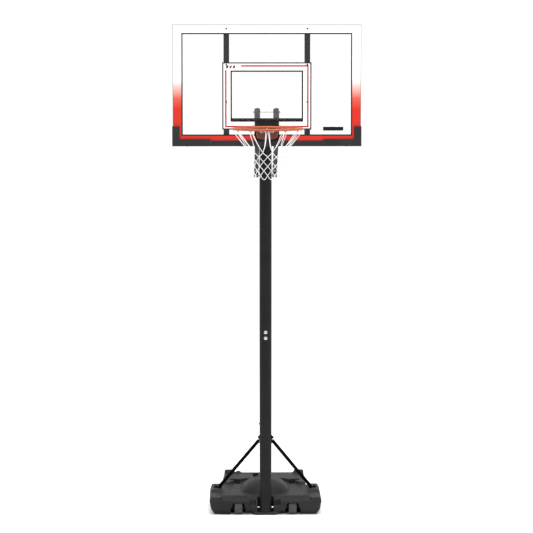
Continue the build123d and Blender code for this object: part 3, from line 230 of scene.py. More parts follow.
# %% A network to start every finish from
class Finish:
    """A material with a Principled shader and helpers that add to its network."""

    def __init__(self, name, colour, roughness, metallic=0.0, specular=0.5):
        self.material = bpy.data.materials.new(name)
        self.material.use_nodes = True
        self.nodes = self.material.node_tree.nodes
        self.links = self.material.node_tree.links
        self.shader = self.nodes["Principled BSDF"]
        self.colour = colour
        self.set("Base Color", (*colour, 1))
        self.set("Roughness", roughness)
        self.set("Metallic", metallic)
        self.set("Specular IOR Level", specular)
        self.place = self.add("ShaderNodeTexCoord").outputs["Object"]
        self.height = None

    def add(self, kind, **settings):
        node = self.nodes.new(kind)
        for key, value in settings.items():
            setattr(node, key, value)
        return node

    def set(self, socket, value):
        self.shader.inputs[socket].default_value = value

    def noise(self, scale, detail=2.0, where=None):
        node = self.add("ShaderNodeTexNoise")
        node.inputs["Scale"].default_value = scale
        node.inputs["Detail"].default_value = detail
        self.links.new(where or self.place, node.inputs["Vector"])
        return node.outputs["Fac"]

    def stretched(self, scale):
        """Object coordinates stretched by a factor on each axis."""
        node = self.add("ShaderNodeMapping")
        node.inputs["Scale"].default_value = scale
        self.links.new(self.place, node.inputs["Vector"])
        return node.outputs["Vector"]

    def spread(self, value, low, high, out_low, out_high):
        node = self.add("ShaderNodeMapRange")
        for key, number in zip(("From Min", "From Max", "To Min", "To Max"), (low, high, out_low, out_high)):
            node.inputs[key].default_value = number
        self.links.new(value, node.inputs["Value"])
        return node.outputs["Result"]

    def ramp(self, value, stops):
        """A colour ramp through (position, colour) stops."""
        node = self.add("ShaderNodeValToRGB")
        elements = node.color_ramp.elements
        while len(elements) < len(stops):
            elements.new(0.5)
        for element, (position, colour) in zip(elements, stops):
            element.position = position
            element.color = (*colour, 1)
        self.links.new(value, node.inputs["Fac"])
        return node.outputs["Color"]

    def mottle(self, value, darker, lighter):
        """Lets a noise move the base colour between two multiples of it."""
        dark = tuple(c * darker for c in self.colour)
        light = tuple(min(1, c * lighter) for c in self.colour)
        colour = self.ramp(value, [(0.3, dark), (0.7, light)])
        self.links.new(colour, self.shader.inputs["Base Color"])
        return colour

    def rough(self, value, low, high):
        self.links.new(self.spread(value, 0.3, 0.7, low, high), self.shader.inputs["Roughness"])

    def bump(self, value, strength, distance):
        node = self.add("ShaderNodeBump")
        node.inputs["Strength"].default_value = strength
        node.inputs["Distance"].default_value = distance
        self.links.new(value, node.inputs["Height"])
        if self.height:
            self.links.new(self.height, node.inputs["Normal"])
        self.height = node.outputs["Normal"]
        self.links.new(self.height, self.shader.inputs["Normal"])


# %% Painted, plated and bare steel
def powder_paint(name, colour, roughness=0.42, specular=0.08):
    """Black powder coat: a faint orange peel and slightly dusty patches."""
    finish = Finish(name, colour, roughness, specular=specular)
    finish.mottle(finish.noise(9.0, 4.0), 0.88, 1.14)
    finish.rough(finish.noise(40.0, 3.0), roughness - 0.06, roughness + 0.08)
    finish.bump(finish.noise(420.0, 1.0), 0.10, 0.0004)
    finish.bump(finish.noise(2200.0, 0.0), 0.05, 0.0002)
    return finish.material


def zinc_plate(name, colour=(0.72, 0.73, 0.75), roughness=0.28):
    """Bright zinc: cloudy plating with a fine scratch along it."""
    finish = Finish(name, colour, roughness, metallic=1.0)
    finish.mottle(finish.noise(160.0, 3.0), 0.82, 1.12)
    finish.rough(finish.noise(320.0, 3.0), roughness - 0.08, roughness + 0.16)
    finish.bump(finish.noise(900.0, 2.0, finish.stretched((1, 1, 0.1))), 0.12, 0.0002)
    return finish.material


def axle_with_painted_shade():
    """Axle steel: bright beside the pole, with painted shade that darkens it out towards the wheels, where
    it sits in the wheel pockets.
    """
    finish = Finish("axle_steel", (0.30, 0.30, 0.31), 0.32, metallic=1.0)
    axes = finish.add("ShaderNodeSeparateXYZ")
    finish.links.new(finish.place, axes.inputs["Vector"])
    distance = finish.add("ShaderNodeMath", operation="ABSOLUTE")
    finish.links.new(axes.outputs["X"], distance.inputs[0])
    # painted shade: the colour falls to near black from 60 to 80 mm out from the middle
    outer_shade = finish.spread(distance.outputs["Value"], 0.060, 0.080, 0.0, 1.0)
    colour = finish.ramp(outer_shade, [(0.0, (0.62, 0.62, 0.63)), (1.0, (0.020, 0.020, 0.021))])
    finish.links.new(colour, finish.shader.inputs["Base Color"])
    finish.rough(finish.noise(300.0, 3.0), 0.25, 0.45)
    return finish.material


def orange_enamel(name, colour):
    """Rim orange: a thick glossy coat, a little browner where it pools."""
    finish = Finish(name, colour, 0.36, specular=0.15)
    finish.set("Coat Weight", 0.05)
    finish.set("Coat Roughness", 0.2)
    finish.mottle(finish.noise(22.0, 5.0), 0.82, 1.15)
    finish.rough(finish.noise(70.0, 2.0), 0.28, 0.46)
    finish.bump(finish.noise(380.0, 1.0), 0.18, 0.0006)
    return finish.material


black_paint = powder_paint("black_powder_paint", (0.0135, 0.0135, 0.014))
frame_paint = powder_paint("frame_powder_paint", (0.0030, 0.0030, 0.0032), 0.65, 0.02)
dark_steel = powder_paint("black_oxide_steel", (0.014, 0.014, 0.015), 0.38, 0.3)
arm_paint = powder_paint("arm_powder_paint", (0.036, 0.036, 0.037), 0.46, 0.15)
zinc = zinc_plate("bright_zinc", (0.50, 0.50, 0.51), 0.32)
spring_wire = zinc_plate("spring_wire", (0.58, 0.58, 0.60), 0.34)
# painted light: a brightened copy of the spring wire, so that the rim's coils read white in the shade under
# the ring
lit_spring_wire = zinc_plate("lit_spring_wire", (0.93, 0.93, 0.92), 0.42)
axle_steel = axle_with_painted_shade()
rim_orange = orange_enamel("rim_orange", (0.40, 0.085, 0.032))
# painted shade: the apron's orange is darkened to brown for the shade it sits in under the ring
shaded_apron_orange = orange_enamel("shaded_apron_orange", (0.075, 0.018, 0.009))


# %% Moulded plastics, foam and nylon
def tank_plastic():
    """Blow-moulded charcoal polyethylene: a pebbled skin, with a painted highlight that lightens its high
    edges.
    """
    finish = Finish("tank_charcoal", (0.023, 0.023, 0.0235), 0.56, specular=0.06)
    cloud = finish.noise(5.0, 4.0)
    base = finish.mottle(cloud, 0.85, 1.2)
    # painted highlight: the colour is mixed lighter where the skin is pointed, on its high edges
    geometry = finish.add("ShaderNodeNewGeometry")
    edge = finish.spread(geometry.outputs["Pointiness"], 0.52, 0.60, 0.0, 1.0)
    edge_highlight = finish.add("ShaderNodeMix", data_type="RGBA")
    finish.links.new(edge, edge_highlight.inputs["Factor"])
    finish.links.new(base, edge_highlight.inputs["A"])
    edge_highlight.inputs["B"].default_value = (0.052, 0.052, 0.053, 1)
    finish.links.new(edge_highlight.outputs["Result"], finish.shader.inputs["Base Color"])
    finish.rough(finish.noise(30.0, 3.0), 0.42, 0.60)
    finish.bump(finish.noise(240.0, 3.0), 0.35, 0.0012)
    finish.bump(finish.noise(1100.0, 1.0), 0.12, 0.0004)
    return finish.material


def plain_plastic(name, colour, roughness, grain=700.0):
    """Injection-moulded plastic with a fine spark-eroded grain."""
    finish = Finish(name, colour, roughness, specular=0.12)
    finish.mottle(finish.noise(14.0, 3.0), 0.9, 1.12)
    finish.rough(finish.noise(60.0, 3.0), roughness - 0.07, roughness + 0.09)
    finish.bump(finish.noise(grain, 2.0), 0.22, 0.0005)
    return finish.material


def pad_rubber():
    """Closed-cell edge pad: a soft matt skin with small pores."""
    finish = Finish("pad_rubber", (0.018, 0.018, 0.0185), 0.6, specular=0.25)
    finish.mottle(finish.noise(11.0, 4.0), 0.85, 1.18)
    finish.rough(finish.noise(80.0, 3.0), 0.52, 0.7)
    pores = finish.add("ShaderNodeTexVoronoi")
    pores.inputs["Scale"].default_value = 420.0
    finish.links.new(finish.place, pores.inputs["Vector"])
    finish.bump(pores.outputs["Distance"], 0.15, 0.0006)
    finish.bump(finish.noise(900.0, 1.0), 0.12, 0.0004)
    return finish.material


tank = tank_plastic()
black_plastic = plain_plastic("black_plastic", (0.009, 0.009, 0.0095), 0.42)
wheel_plastic = plain_plastic("wheel_plastic", (0.056, 0.056, 0.057), 0.5, 420.0)
nylon = plain_plastic("white_nylon", (0.78, 0.77, 0.72), 0.38)
pad = pad_rubber()


# %% Sand, trim and the clear sheet
def dry_sand():
    """Play sand: grains of several browns with a rough heaped surface."""
    finish = Finish("dry_sand", (0.52, 0.41, 0.26), 0.9)
    finish.mottle(finish.noise(700.0, 4.0), 0.6, 1.3)
    finish.bump(finish.noise(500.0, 4.0), 0.6, 0.002)
    return finish.material


def brushed_trim():
    finish = Finish("trim_aluminium", (0.13, 0.13, 0.135), 0.42, metallic=0.3, specular=0.3)
    finish.mottle(finish.noise(60.0, 3.0), 0.85, 1.1)
    finish.bump(finish.noise(500.0, 2.0, finish.stretched((0.05, 1, 0.05))), 0.2, 0.0002)
    return finish.material


def clear_polycarbonate():
    """Nearly invisible from the front, with a gloss and a faint cast that waves very slightly."""
    finish = Finish("clear_polycarbonate", (0.93, 0.96, 0.97), 0.08)
    finish.set("Alpha", 0.035)
    finish.rough(finish.noise(7.0, 3.0), 0.05, 0.12)
    finish.mottle(finish.noise(3.0, 2.0), 0.97, 1.0)
    finish.bump(finish.noise(6.0, 2.0), 0.05, 0.002)
    return finish.material


sand = dry_sand()
trim = brushed_trim()
clear = clear_polycarbonate()

# %% [markdown]
# ## Printing inks
# The board is screen-printed. One ink runs from white at the top of the side borders to red at
# their foot, so its colour depends on height. The others are flat inks with a fine screen grain.

# %% Inks
FADE_LOW_Z = 3.01
FADE_HIGH_Z = 3.225
INK_RED = (0.62, 0.030, 0.018)
INK_WHITE = (0.94, 0.94, 0.94)


def ink(name, colour, roughness=0.34):
    finish = Finish(name, colour, roughness, specular=0.15)
    finish.mottle(finish.noise(25.0, 3.0), 0.95, 1.04)
    finish.rough(finish.noise(90.0, 2.0), roughness - 0.05, roughness + 0.08)
    finish.bump(finish.noise(1500.0, 1.0), 0.08, 0.0001)
    return finish.material


def fading_ink():
    finish = Finish("border_fade_ink", INK_WHITE, 0.34, specular=0.15)
    axes = finish.add("ShaderNodeSeparateXYZ")
    finish.links.new(finish.place, axes.inputs["Vector"])
    height = finish.spread(axes.outputs["Z"], FADE_LOW_Z, FADE_HIGH_Z, 0.0, 1.0)
    stops = [(0.0, INK_RED), (0.35, (0.70, 0.11, 0.08)), (0.7, (0.84, 0.48, 0.43)), (1.0, INK_WHITE)]
    finish.links.new(finish.ramp(height, stops), finish.shader.inputs["Base Color"])
    finish.rough(finish.noise(90.0, 2.0), 0.3, 0.42)
    finish.bump(finish.noise(1500.0, 1.0), 0.08, 0.0001)
    return finish.material


border_ink = fading_ink()
white_ink = ink("white_ink", INK_WHITE)
red_ink = ink("red_ink", (0.42, 0.020, 0.018))
black_ink = ink("black_ink", (0.006, 0.006, 0.007))
grey_ink = ink("grey_ink", (0.030, 0.030, 0.033))


# %% [markdown]
# ## Cord
# The net's white polyester cord is laid from small strands. Its pattern follows the cord, so this
# finish reads the tube's own UV map: two slanted sets of stripes cross to make the plait.


# %% Plaited cord
def plaited_cord(turns_along):
    finish = Finish("white_cord", (0.74, 0.74, 0.73), 0.8, specular=0.2)
    finish.set("Sheen Weight", 0.1)
    uv = finish.add("ShaderNodeUVMap")
    heights = []
    for lean in (1, -1):
        turn = finish.add("ShaderNodeMapping")
        turn.inputs["Scale"].default_value = (turns_along, 2.0 * lean, 1)
        finish.links.new(uv.outputs["UV"], turn.inputs["Vector"])
        axes = finish.add("ShaderNodeSeparateXYZ")
        finish.links.new(turn.outputs["Vector"], axes.inputs["Vector"])
        total = finish.add("ShaderNodeMath", operation="ADD")
        finish.links.new(axes.outputs["X"], total.inputs[0])
        finish.links.new(axes.outputs["Y"], total.inputs[1])
        around = finish.add("ShaderNodeMath", operation="MULTIPLY")
        around.inputs[1].default_value = math.tau
        finish.links.new(total.outputs["Value"], around.inputs[0])
        wave = finish.add("ShaderNodeMath", operation="SINE")
        finish.links.new(around.outputs["Value"], wave.inputs[0])
        heights.append(wave.outputs["Value"])
    plait = finish.add("ShaderNodeMath", operation="MAXIMUM")
    finish.links.new(heights[0], plait.inputs[0])
    finish.links.new(heights[1], plait.inputs[1])
    finish.bump(plait.outputs["Value"], 0.25, 0.0004)
    # painted shade: the cord's colour darkens in the grooves between the plaited strands
    shade = finish.spread(plait.outputs["Value"], -0.6, 1.0, 0.0, 1.0)
    colour = finish.ramp(shade, [(0.0, (0.64, 0.64, 0.63)), (0.6, (0.74, 0.74, 0.73))])
    finish.links.new(colour, finish.shader.inputs["Base Color"])
    return finish.material


# %% [markdown]
# ## Dress the model's own parts
# Many nodes already have the right shape. They keep their mesh and only get a finish.

# %% Finishes of the model's nodes
DRESS = {
    "black_paint": ["pole_bottom", "pole_middle", "pole_top", "pole_screw",
                    "elevator_tube", "elevator_head", "spring_anchor", "adjuster_bracket", "pad_screws"],
    "frame_paint": ["frame_upright_left", "frame_upright_right", "frame_crossbar_top",
                    "frame_crossbar_middle", "frame_crossbar_bottom", "brace_top_bolt", "brace_foot_bolts"],
    "arm_paint": ["upper_arm_left", "upper_arm_right", "lower_arm_left", "lower_arm_right",
                  "board_bracket_left", "board_bracket_right"],
    "zinc": ["carriage_bolts", "guide_rod", "anchor_screws", "pole_bolt_upper", "pole_bolt_lower",
             "board_bolt_upper", "board_bolt_lower", "rear_pin", "lock_plates", "trigger_pin",
             "rim_pivot_pin"],
    "dark_steel": ["panel_screws", "rim_bolts"],
    "axle_steel": ["axle"],
    "rim_orange": ["rim_ring", "rim_plate", "rim_brace", "net_hooks"],
    "black_plastic": ["pole_cap", "fill_cap", "drain_cap", "trigger", "handle", "rim_mount"],
    "wheel_plastic": ["wheel_left", "wheel_right"],
    "nylon": ["tube_bush"],
    "pad": ["backboard_pad"],
    "sand": ["base_ballast"],
    "trim": ["edge_trim"],
    "clear": ["backboard_panel"],
    "tank": ["base_shell"],
}
finishes = dict(dark_steel=dark_steel, axle_steel=axle_steel, black_paint=black_paint,
                frame_paint=frame_paint, arm_paint=arm_paint, zinc=zinc, rim_orange=rim_orange,
                black_plastic=black_plastic, wheel_plastic=wheel_plastic, nylon=nylon, pad=pad,
                sand=sand, trim=trim, clear=clear, tank=tank)
for finish_name, nodes in DRESS.items():
    for node in nodes:
        mesh = frame["nodes"][node].data
        mesh.materials.clear()
        mesh.materials.append(finishes[finish_name])
left_bare = set(frame["nodes"]) - {n for nodes in DRESS.values() for n in nodes}
print("nodes that a new piece will stand for", sorted(left_bare))

# %% [markdown]
# ## The printed board
# Each ink area is a flat frame: a plane is cut along four lines, its middle is taken out, and the
# rest is pulled forward by a film's thickness.

# %% Flat frames and bars on the board's face
panel_low, panel_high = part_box("backboard_panel")
FACE_Y = panel_low.y
FILM = 0.4 * MM


def flat_sheet(name, x, z):
    """A plane that faces the court, between two values of x and of z."""
    let_go()
    bpy.ops.mesh.primitive_plane_add(size=1, location=((x[0] + x[1]) / 2, FACE_Y, (z[0] + z[1]) / 2),
                                     rotation=(math.pi / 2, 0, 0))
    piece = bpy.context.object
    piece.name = name
    piece.scale = (x[1] - x[0], z[1] - z[0], 1)
    settle(piece)
    return piece


def cut_at(axis, values, piece):
    """Cuts a piece along planes across one axis."""
    normal = Vector([1.0 if i == axis else 0.0 for i in range(3)])
    for value in values:
        edit_all(piece)
        bpy.ops.mesh.bisect(plane_co=normal * value, plane_no=normal)
    let_go()


def thicken(piece, film=FILM):
    """Pulls a flat sheet forward into a closed film."""
    edit_all(piece)
    bpy.ops.mesh.extrude_region_move(TRANSFORM_OT_translate={"value": (0, -film, 0)})
    bpy.ops.mesh.select_all(action="SELECT")
    bpy.ops.mesh.normals_make_consistent(inside=False)
    let_go()


def printed_frame(name, x, z, inner_x, inner_z, material, film=FILM):
    """An ink frame with borders of their own width on each side."""
    piece = flat_sheet(name, x, z)
    cut_at(0, inner_x, piece)
    cut_at(2, inner_z, piece)
    pick_faces(piece, lambda c, n: inner_x[0] < c.x < inner_x[1] and inner_z[0] < c.z < inner_z[1])
    bpy.ops.mesh.delete(type="FACE")
    let_go()
    thicken(piece, film)
    place(piece, "board", material, slot="clear_sheet")


def printed_bar(name, x, z, material, film=FILM):
    piece = flat_sheet(name, x, z)
    thicken(piece, film)
    place(piece, "board", material, slot="clear_sheet")


# %% The border: a fading ink with a dark line inside it
SHEET_X = panel_high.x
SHEET_TOP = panel_high.z
PAD_TOP = 2.788
LINE_X = 0.599
LINE_TOP = 3.542
LINE_FOOT = 2.823
LINE_W = 9 * MM
printed_frame("border_print", (-SHEET_X, SHEET_X), (PAD_TOP, SHEET_TOP), (-LINE_X, LINE_X),
              (LINE_FOOT, LINE_TOP), border_ink)
printed_frame("border_line", (-LINE_X, LINE_X), (LINE_FOOT, LINE_TOP), (-LINE_X + LINE_W, LINE_X - LINE_W),
              (LINE_FOOT + LINE_W, LINE_TOP - LINE_W), black_ink)

# %% [markdown]
# The shooting target is a white band between two dark lines, with a fine red line inside the band.
# The red line leaves a gap at its top left corner, where three small slanted bars are printed.

# %% The target
TARGET_X = 0.313
TARGET_Z = (2.866, 3.337)
BAND_X = 0.245
BAND_Z = (2.931, 3.270)
OUTER_W = 9 * MM
INNER_W = 10 * MM
RED_X = 0.293
RED_Z = (2.882, 3.317)
RED_W = 10.5 * MM
RED_GAP_X = 0.112
RED_GAP_Z = 0.035
edge_x = TARGET_X - OUTER_W
edge_z = (TARGET_Z[0] + OUTER_W, TARGET_Z[1] - OUTER_W)
line_x = BAND_X + INNER_W
line_z = (BAND_Z[0] - INNER_W, BAND_Z[1] + INNER_W)
printed_frame("target_outline", (-TARGET_X, TARGET_X), TARGET_Z, (-edge_x, edge_x), edge_z, grey_ink)
printed_frame("target_band", (-edge_x, edge_x), edge_z, (-line_x, line_x), line_z, white_ink)
printed_frame("target_inner_line", (-line_x, line_x), line_z, (-BAND_X, BAND_X), BAND_Z, black_ink)
raised = FILM * 2
red_foot, red_top = RED_Z
red_wall = red_foot + RED_W
printed_bar("target_red_foot", (-RED_X, RED_X), (red_foot, red_wall), red_ink, raised)
printed_bar("target_red_right", (RED_X - RED_W, RED_X), (red_wall, red_top), red_ink, raised)
printed_bar("target_red_left", (-RED_X, -RED_X + RED_W), (red_wall, red_top - RED_GAP_Z), red_ink, raised)
printed_bar("target_red_top", (-RED_X + RED_GAP_X, RED_X - RED_W), (red_top - RED_W, red_top), red_ink,
            raised)

# %% Three slanted bars in the gap, and a plain badge near the lower right corner
SLANT = 8 * MM
MARK_INDENT = 0.004
MARK_PITCH = 0.024
MARK_W = 0.014
MARK_FOOT_DROP = 0.022
MARK_TOP_DROP = 0.002
MARK_MIDDLE_DROP = 0.010
for i in range(3):
    left = -RED_X + MARK_INDENT + i * MARK_PITCH
    mark = flat_sheet(f"target_mark_{i + 1}", (left, left + MARK_W),
                      (red_top - MARK_FOOT_DROP, red_top - MARK_TOP_DROP))
    pick_points(mark, lambda p: p.z > red_top - MARK_MIDDLE_DROP)
    bpy.ops.transform.translate(value=(SLANT, 0, 0))
    thicken(mark, raised)
    place(mark, "board", red_ink if i == 1 else black_ink, slot="clear_sheet")


def rounded_plate(name, x, z, radius, film, material):
    """A flat plate with round corners."""
    piece = flat_sheet(name, x, z)
    edit_all(piece)
    bpy.ops.mesh.bevel(offset=radius, segments=6, affect="VERTICES")
    let_go()
    thicken(piece, film)
    place(piece, "board", material, slot="clear_sheet")


BADGE_X = (0.392, 0.540)
BADGE_Z = (2.856, 2.888)
BADGE_EDGE = 2.5 * MM
face_x = (BADGE_X[0] + BADGE_EDGE, BADGE_X[1] - BADGE_EDGE)
face_z = (BADGE_Z[0] + BADGE_EDGE, BADGE_Z[1] - BADGE_EDGE)
rounded_plate("badge_edge", BADGE_X, BADGE_Z, 9 * MM, 1.0 * MM, white_ink)
rounded_plate("badge_face", face_x, face_z, 7 * MM, 1.5 * MM, black_ink)

# %% [markdown]
# ## Board frame, arms and pads
# Tubes, channels and pads come from the model with their edges rounded by the radius that their
# making leaves: about a millimetre on bent steel, several on moulded rubber.

# %% Softened copies of the steel and moulded parts
SOFTENED = [
    ("frame_upright_left", "upright_left", "board", frame_paint, 1.6),
    ("frame_upright_right", "upright_right", "board", frame_paint, 1.6),
    ("frame_crossbar_top", "crossbar_top", "board", frame_paint, 1.6),
    ("frame_crossbar_middle", "crossbar_middle", "board", frame_paint, 1.6),
    ("frame_crossbar_bottom", "crossbar_bottom", "board", frame_paint, 1.6),
    ("board_bracket_left", "channel_bracket_left", "board", arm_paint, 0.9),
    ("board_bracket_right", "channel_bracket_right", "board", arm_paint, 0.9),
    ("upper_arm_left", "arm_upper_left", "upper_arms", arm_paint, 0.9),
    ("upper_arm_right", "arm_upper_right", "upper_arms", arm_paint, 0.9),
    ("lower_arm_left", "arm_lower_left", "lower_arms", arm_paint, 0.9),
    ("lower_arm_right", "arm_lower_right", "lower_arms", arm_paint, 0.9),
    ("backboard_pad", "edge_pad", "board", pad, 3.0),
    ("rim_mount", "rim_cover", "board", black_plastic, 1.2),
    ("rim_plate", "rim_top_plate", "rim", rim_orange, 1.0),
    # the apron takes the orange that is darkened as painted shade
    ("rim_brace", "rim_apron", "rim", shaded_apron_orange, 0.8),
    ("wheel_left", "wheel_tyre_left", "left_wheel", wheel_plastic, 2.0),
    ("wheel_right", "wheel_tyre_right", "right_wheel", wheel_plastic, 2.0),
    ("brace_left", "strut_left", "stand", frame_paint, 1.2),
    ("brace_right", "strut_right", "stand", frame_paint, 1.2),
    ("pole_cap", "pole_end_cap", "stand", black_plastic, 2.0),
    ("handle", "lift_handle", "elevator", black_plastic, 2.5),
    ("trigger", "lift_trigger", "trigger_lever", black_plastic, 1.2),
    ("adjuster_bracket", "rod_bracket", "stand", black_paint, 1.0),
    ("spring_anchor", "anchor_channel", "stand", black_paint, 0.8),
    ("elevator_head", "slotted_head", "elevator", black_paint, 0.9),
    ("fill_cap", "filler_screw_cap", "filler_cap", black_plastic, 1.0),
    ("drain_cap", "drain_screw_cap", "drain_plug", black_plastic, 0.8),
]
for node, name, body, material, radius_mm in SOFTENED:
    place(softened(node, name, radius_mm * MM), body, material, node)

# %% [markdown]
# ## The tank
# A blow-moulded tank has no sharp edge anywhere, because the plastic bubble stretches over its
# mould. A bevel can't round so many crossing shapes, so the skin is rebuilt from small even
# squares and then relaxed, which rounds every edge and hollow by about a centimetre. The wall is
# thinner than a square, so the room that the sand takes is filled first, and loose bits are
# dropped. Part of the inner wall stays. The skin is then thinned out to fewer faces.

# %% Rebuild and relax the tank's skin
SKIN_GRID = 5.2 * MM
SKIN_SHARE = 0.6
SKIN_PASSES = 5
FILL_PLUG_R = 24 * MM
FILL_PLUG_H = 30 * MM
FILL_PLUG_DROP = 0.036
STRUT_PLUG_R = 8 * MM
STRUT_PLUG_H = 22 * MM
STRUT_X, STRUT_Y, STRUT_Z = 0.368, 0.300, 0.135


def plug(radius, depth, middle):
    """A short bar that closes a hole before the skin is rebuilt."""
    let_go()
    bpy.ops.mesh.primitive_cylinder_add(vertices=24, radius=radius, depth=depth, location=middle)
    piece = bpy.context.object
    settle(piece)
    return piece


shell = merged_copy("base_shell", "tank_skin")
cap_low, cap_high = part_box("fill_cap")
fill_hole = ((cap_low.x + cap_high.x) / 2, (cap_low.y + cap_high.y) / 2, cap_high.z - FILL_PLUG_DROP)
plugs = [plug(FILL_PLUG_R, FILL_PLUG_H, fill_hole)]
for side in SIDES.values():
    plugs.append(plug(STRUT_PLUG_R, STRUT_PLUG_H, (side * STRUT_X, STRUT_Y, STRUT_Z)))
filler = merged_copy("base_ballast", "filler")
tank_skin = join("tank_skin", [shell, filler] + plugs)
add_modifier(tank_skin, "REMESH", mode="VOXEL", voxel_size=SKIN_GRID)
print("faces inside and out", len(tank_skin.data.polygons))
skin_foot = min(v.co.z for v in tank_skin.data.vertices)
pick_points(tank_skin, lambda p: p.z < skin_foot + MM)
bpy.ops.mesh.select_linked()
bpy.ops.mesh.select_all(action="INVERT")
bpy.ops.mesh.delete(type="VERT")
let_go()
add_modifier(tank_skin, "SMOOTH", factor=0.5, iterations=SKIN_PASSES)
add_modifier(tank_skin, "DECIMATE", ratio=SKIN_SHARE)
hold(tank_skin)
bpy.ops.object.shade_smooth()
place(tank_skin, "stand", tank, "base_shell")
skin_low = min(v.co.z for v in tank_skin.data.vertices)
print("tank skin lowest point", round(skin_low, 4))

# %% [markdown]
# The sand inside settles into the same rounded corners, a few millimetres inside the skin.

# %% The sand fill
FILL_GRID = 9 * MM
FILL_PASSES = 6
FILL_SHRINK = 5 * MM
sand_fill = merged_copy("base_ballast", "sand_fill")
add_modifier(sand_fill, "REMESH", mode="VOXEL", voxel_size=FILL_GRID)
add_modifier(sand_fill, "SMOOTH", factor=0.5, iterations=FILL_PASSES)
add_modifier(sand_fill, "DISPLACE", strength=-FILL_SHRINK, mid_level=0.0)
hold(sand_fill)
bpy.ops.object.shade_smooth()
place(sand_fill, "stand", sand, "base_ballast")

# %% [markdown]
# ## Springs
# A coil is one wire, so each spring is a single curve with a round section. The two long springs
# take the board's weight off the hand: they stretch between a stud on the pole and the arms' rear
# pin, and end in a hook at both ends. They are straight.

# %% Wire coils
def round_tube(name, points, radius, closed, sides=3, steps=5):
    """A smooth tube through the points, as a mesh with its own UV map."""
    curve = bpy.data.curves.new(name, "CURVE")
    curve.dimensions = "3D"
    line = curve.splines.new("BEZIER")
    line.bezier_points.add(len(points) - 1)
    for point, spot in zip(line.bezier_points, points):
        point.co = spot
        point.handle_left_type = point.handle_right_type = "AUTO"
    line.use_cyclic_u = closed
    curve.resolution_u = steps
    curve.bevel_depth = radius
    curve.bevel_resolution = sides
    curve.use_fill_caps = not closed
    piece = bpy.data.objects.new(name, curve)
    bpy.context.scene.collection.objects.link(piece)
    hold(piece)
    bpy.ops.object.convert(target="MESH")
    piece = bpy.context.object
    smooth(piece, 60)
    return piece


def copies(first, places, name):
    """Copies a piece to each place and turn, joins the copies and drops the first."""
    made = []
    for spot, turn in places:
        hold(first)
        bpy.ops.object.duplicate()
        piece = bpy.context.object
        piece.location = spot
        piece.rotation_euler = turn
        settle(piece)
        made.append(piece)
    bpy.data.objects.remove(first)
    return join(name, made)


COIL_STEPS = 8


def coil_points(radius, pitch, turns):
    """Points up a coil round the Z axis, from the origin."""
    points = []
    for i in range(int(turns * COIL_STEPS) + 1):
        angle = i / COIL_STEPS * math.tau
        points.append(Vector((radius * math.cos(angle), radius * math.sin(angle), i / COIL_STEPS * pitch)))
    return points


# %% The two counterbalance springs
sleeve_low, sleeve_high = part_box("counter_springs")
pin_low, pin_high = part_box("rear_pin")
anchor_low, anchor_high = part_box("spring_anchor")
WIRE_R = 1.5 * MM
COIL_R = 7.9 * MM
COIL_PITCH = 3.6 * MM
EYE_R = 6.0 * MM
COIL_END = 0.012
FOOT_HOOK_RISE = 1.5 * MM
HEAD_HOOK_DROP = 0.5 * MM
spring_y = (sleeve_low.y + sleeve_high.y) / 2
spring_x = sleeve_high.x - COIL_R - WIRE_R
coil_foot = sleeve_low.z + COIL_END
coil_head = sleeve_high.z - COIL_END
coil_turns = int((coil_head - coil_foot) / COIL_PITCH)


def hook_points(centre_z, up):
    """An open hook in the plane of the coil's axis, as points that lead away from the coil."""
    points = []
    for degrees in (-60, -20, 20, 60, 100, 140, 180, 215):
        angle = math.radians(degrees)
        points.append(Vector((EYE_R * math.cos(angle), 0, centre_z + up * EYE_R * math.sin(angle))))
    return points


coil = [p + Vector((0, 0, coil_foot)) for p in coil_points(COIL_R, COIL_PITCH, coil_turns)]
stud_z = (anchor_low.z + anchor_high.z) / 2
pin_z = (pin_low.z + pin_high.z) / 2
foot_hook = hook_points(stud_z + FOOT_HOOK_RISE, -1)
head_hook = hook_points(pin_z - HEAD_HOOK_DROP, 1)
spring = round_tube("spring", list(reversed(foot_hook)) + coil + head_hook, WIRE_R, False, 1, 2)
long_springs = copies(spring, [((side * spring_x, spring_y, 0), (0, 0, 0)) for side in SIDES.values()],
                      "counterbalance_coils")
long_springs.data.materials.clear()
long_springs.data.materials.append(spring_wire)
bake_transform(long_springs)
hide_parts("counter_springs")
print("coil turns", coil_turns, "faces", len(long_springs.data.polygons))

# %% The rim's two torsion springs on their pin
tip_low, tip_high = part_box("rim_springs")
TIP_WIRE_R = 2.0 * MM
TIP_COIL_R = 8.0 * MM
TIP_PITCH = 4.6 * MM
TIP_TURNS = 8.75
TIP_START = 2 * MM
TIP_MIDDLE = 11 * MM
LEG_WIRE_R = 2.2 * MM
LEG_TOP = 2.860
LEG_RUNS = ((2.8525, 51), (2.8475, 47))
tip_y = (tip_low.y + tip_high.y) / 2
tip_z = (tip_low.z + tip_high.z) / 2
turns = coil_points(TIP_COIL_R, TIP_PITCH, TIP_TURNS)
leg_in = [turns[0] + Vector((0, -0.020, 0)), turns[0] + Vector((0, -0.008, 0))]
spring = round_tube("tip_spring", leg_in + turns, TIP_WIRE_R, False, 2, 2)
along_pin = (0, math.pi / 2, 0)
tip_places = [((x, tip_y, tip_z), along_pin) for x in (tip_low.x + TIP_START, TIP_MIDDLE)]
rim_coils = copies(spring, tip_places, "rim_coils")
legs = [rim_coils]
for side in SIDES.values():
    for height, reach in LEG_RUNS:
        bend = [(11, LEG_TOP), (13, height + 0.002), (17, height), (reach - 4, height),
                (reach, height + 0.003), (reach + 1, LEG_TOP)]
        line = [Vector((side * x * MM, tip_y - 10 * MM, z)) for x, z in bend]
        legs.append(round_tube("leg", line, LEG_WIRE_R, False, 2, 3))
place(join("rim_return_coils", legs), "board", lit_spring_wire, "rim_springs", slot="spring_steel")

# %% [markdown]
# ## The ring
# The ring is a bent rod whose ends are welded to its plate and apron, so it gets a bead along each
# of those seams. Twelve short wire loops hang under it and carry the net.

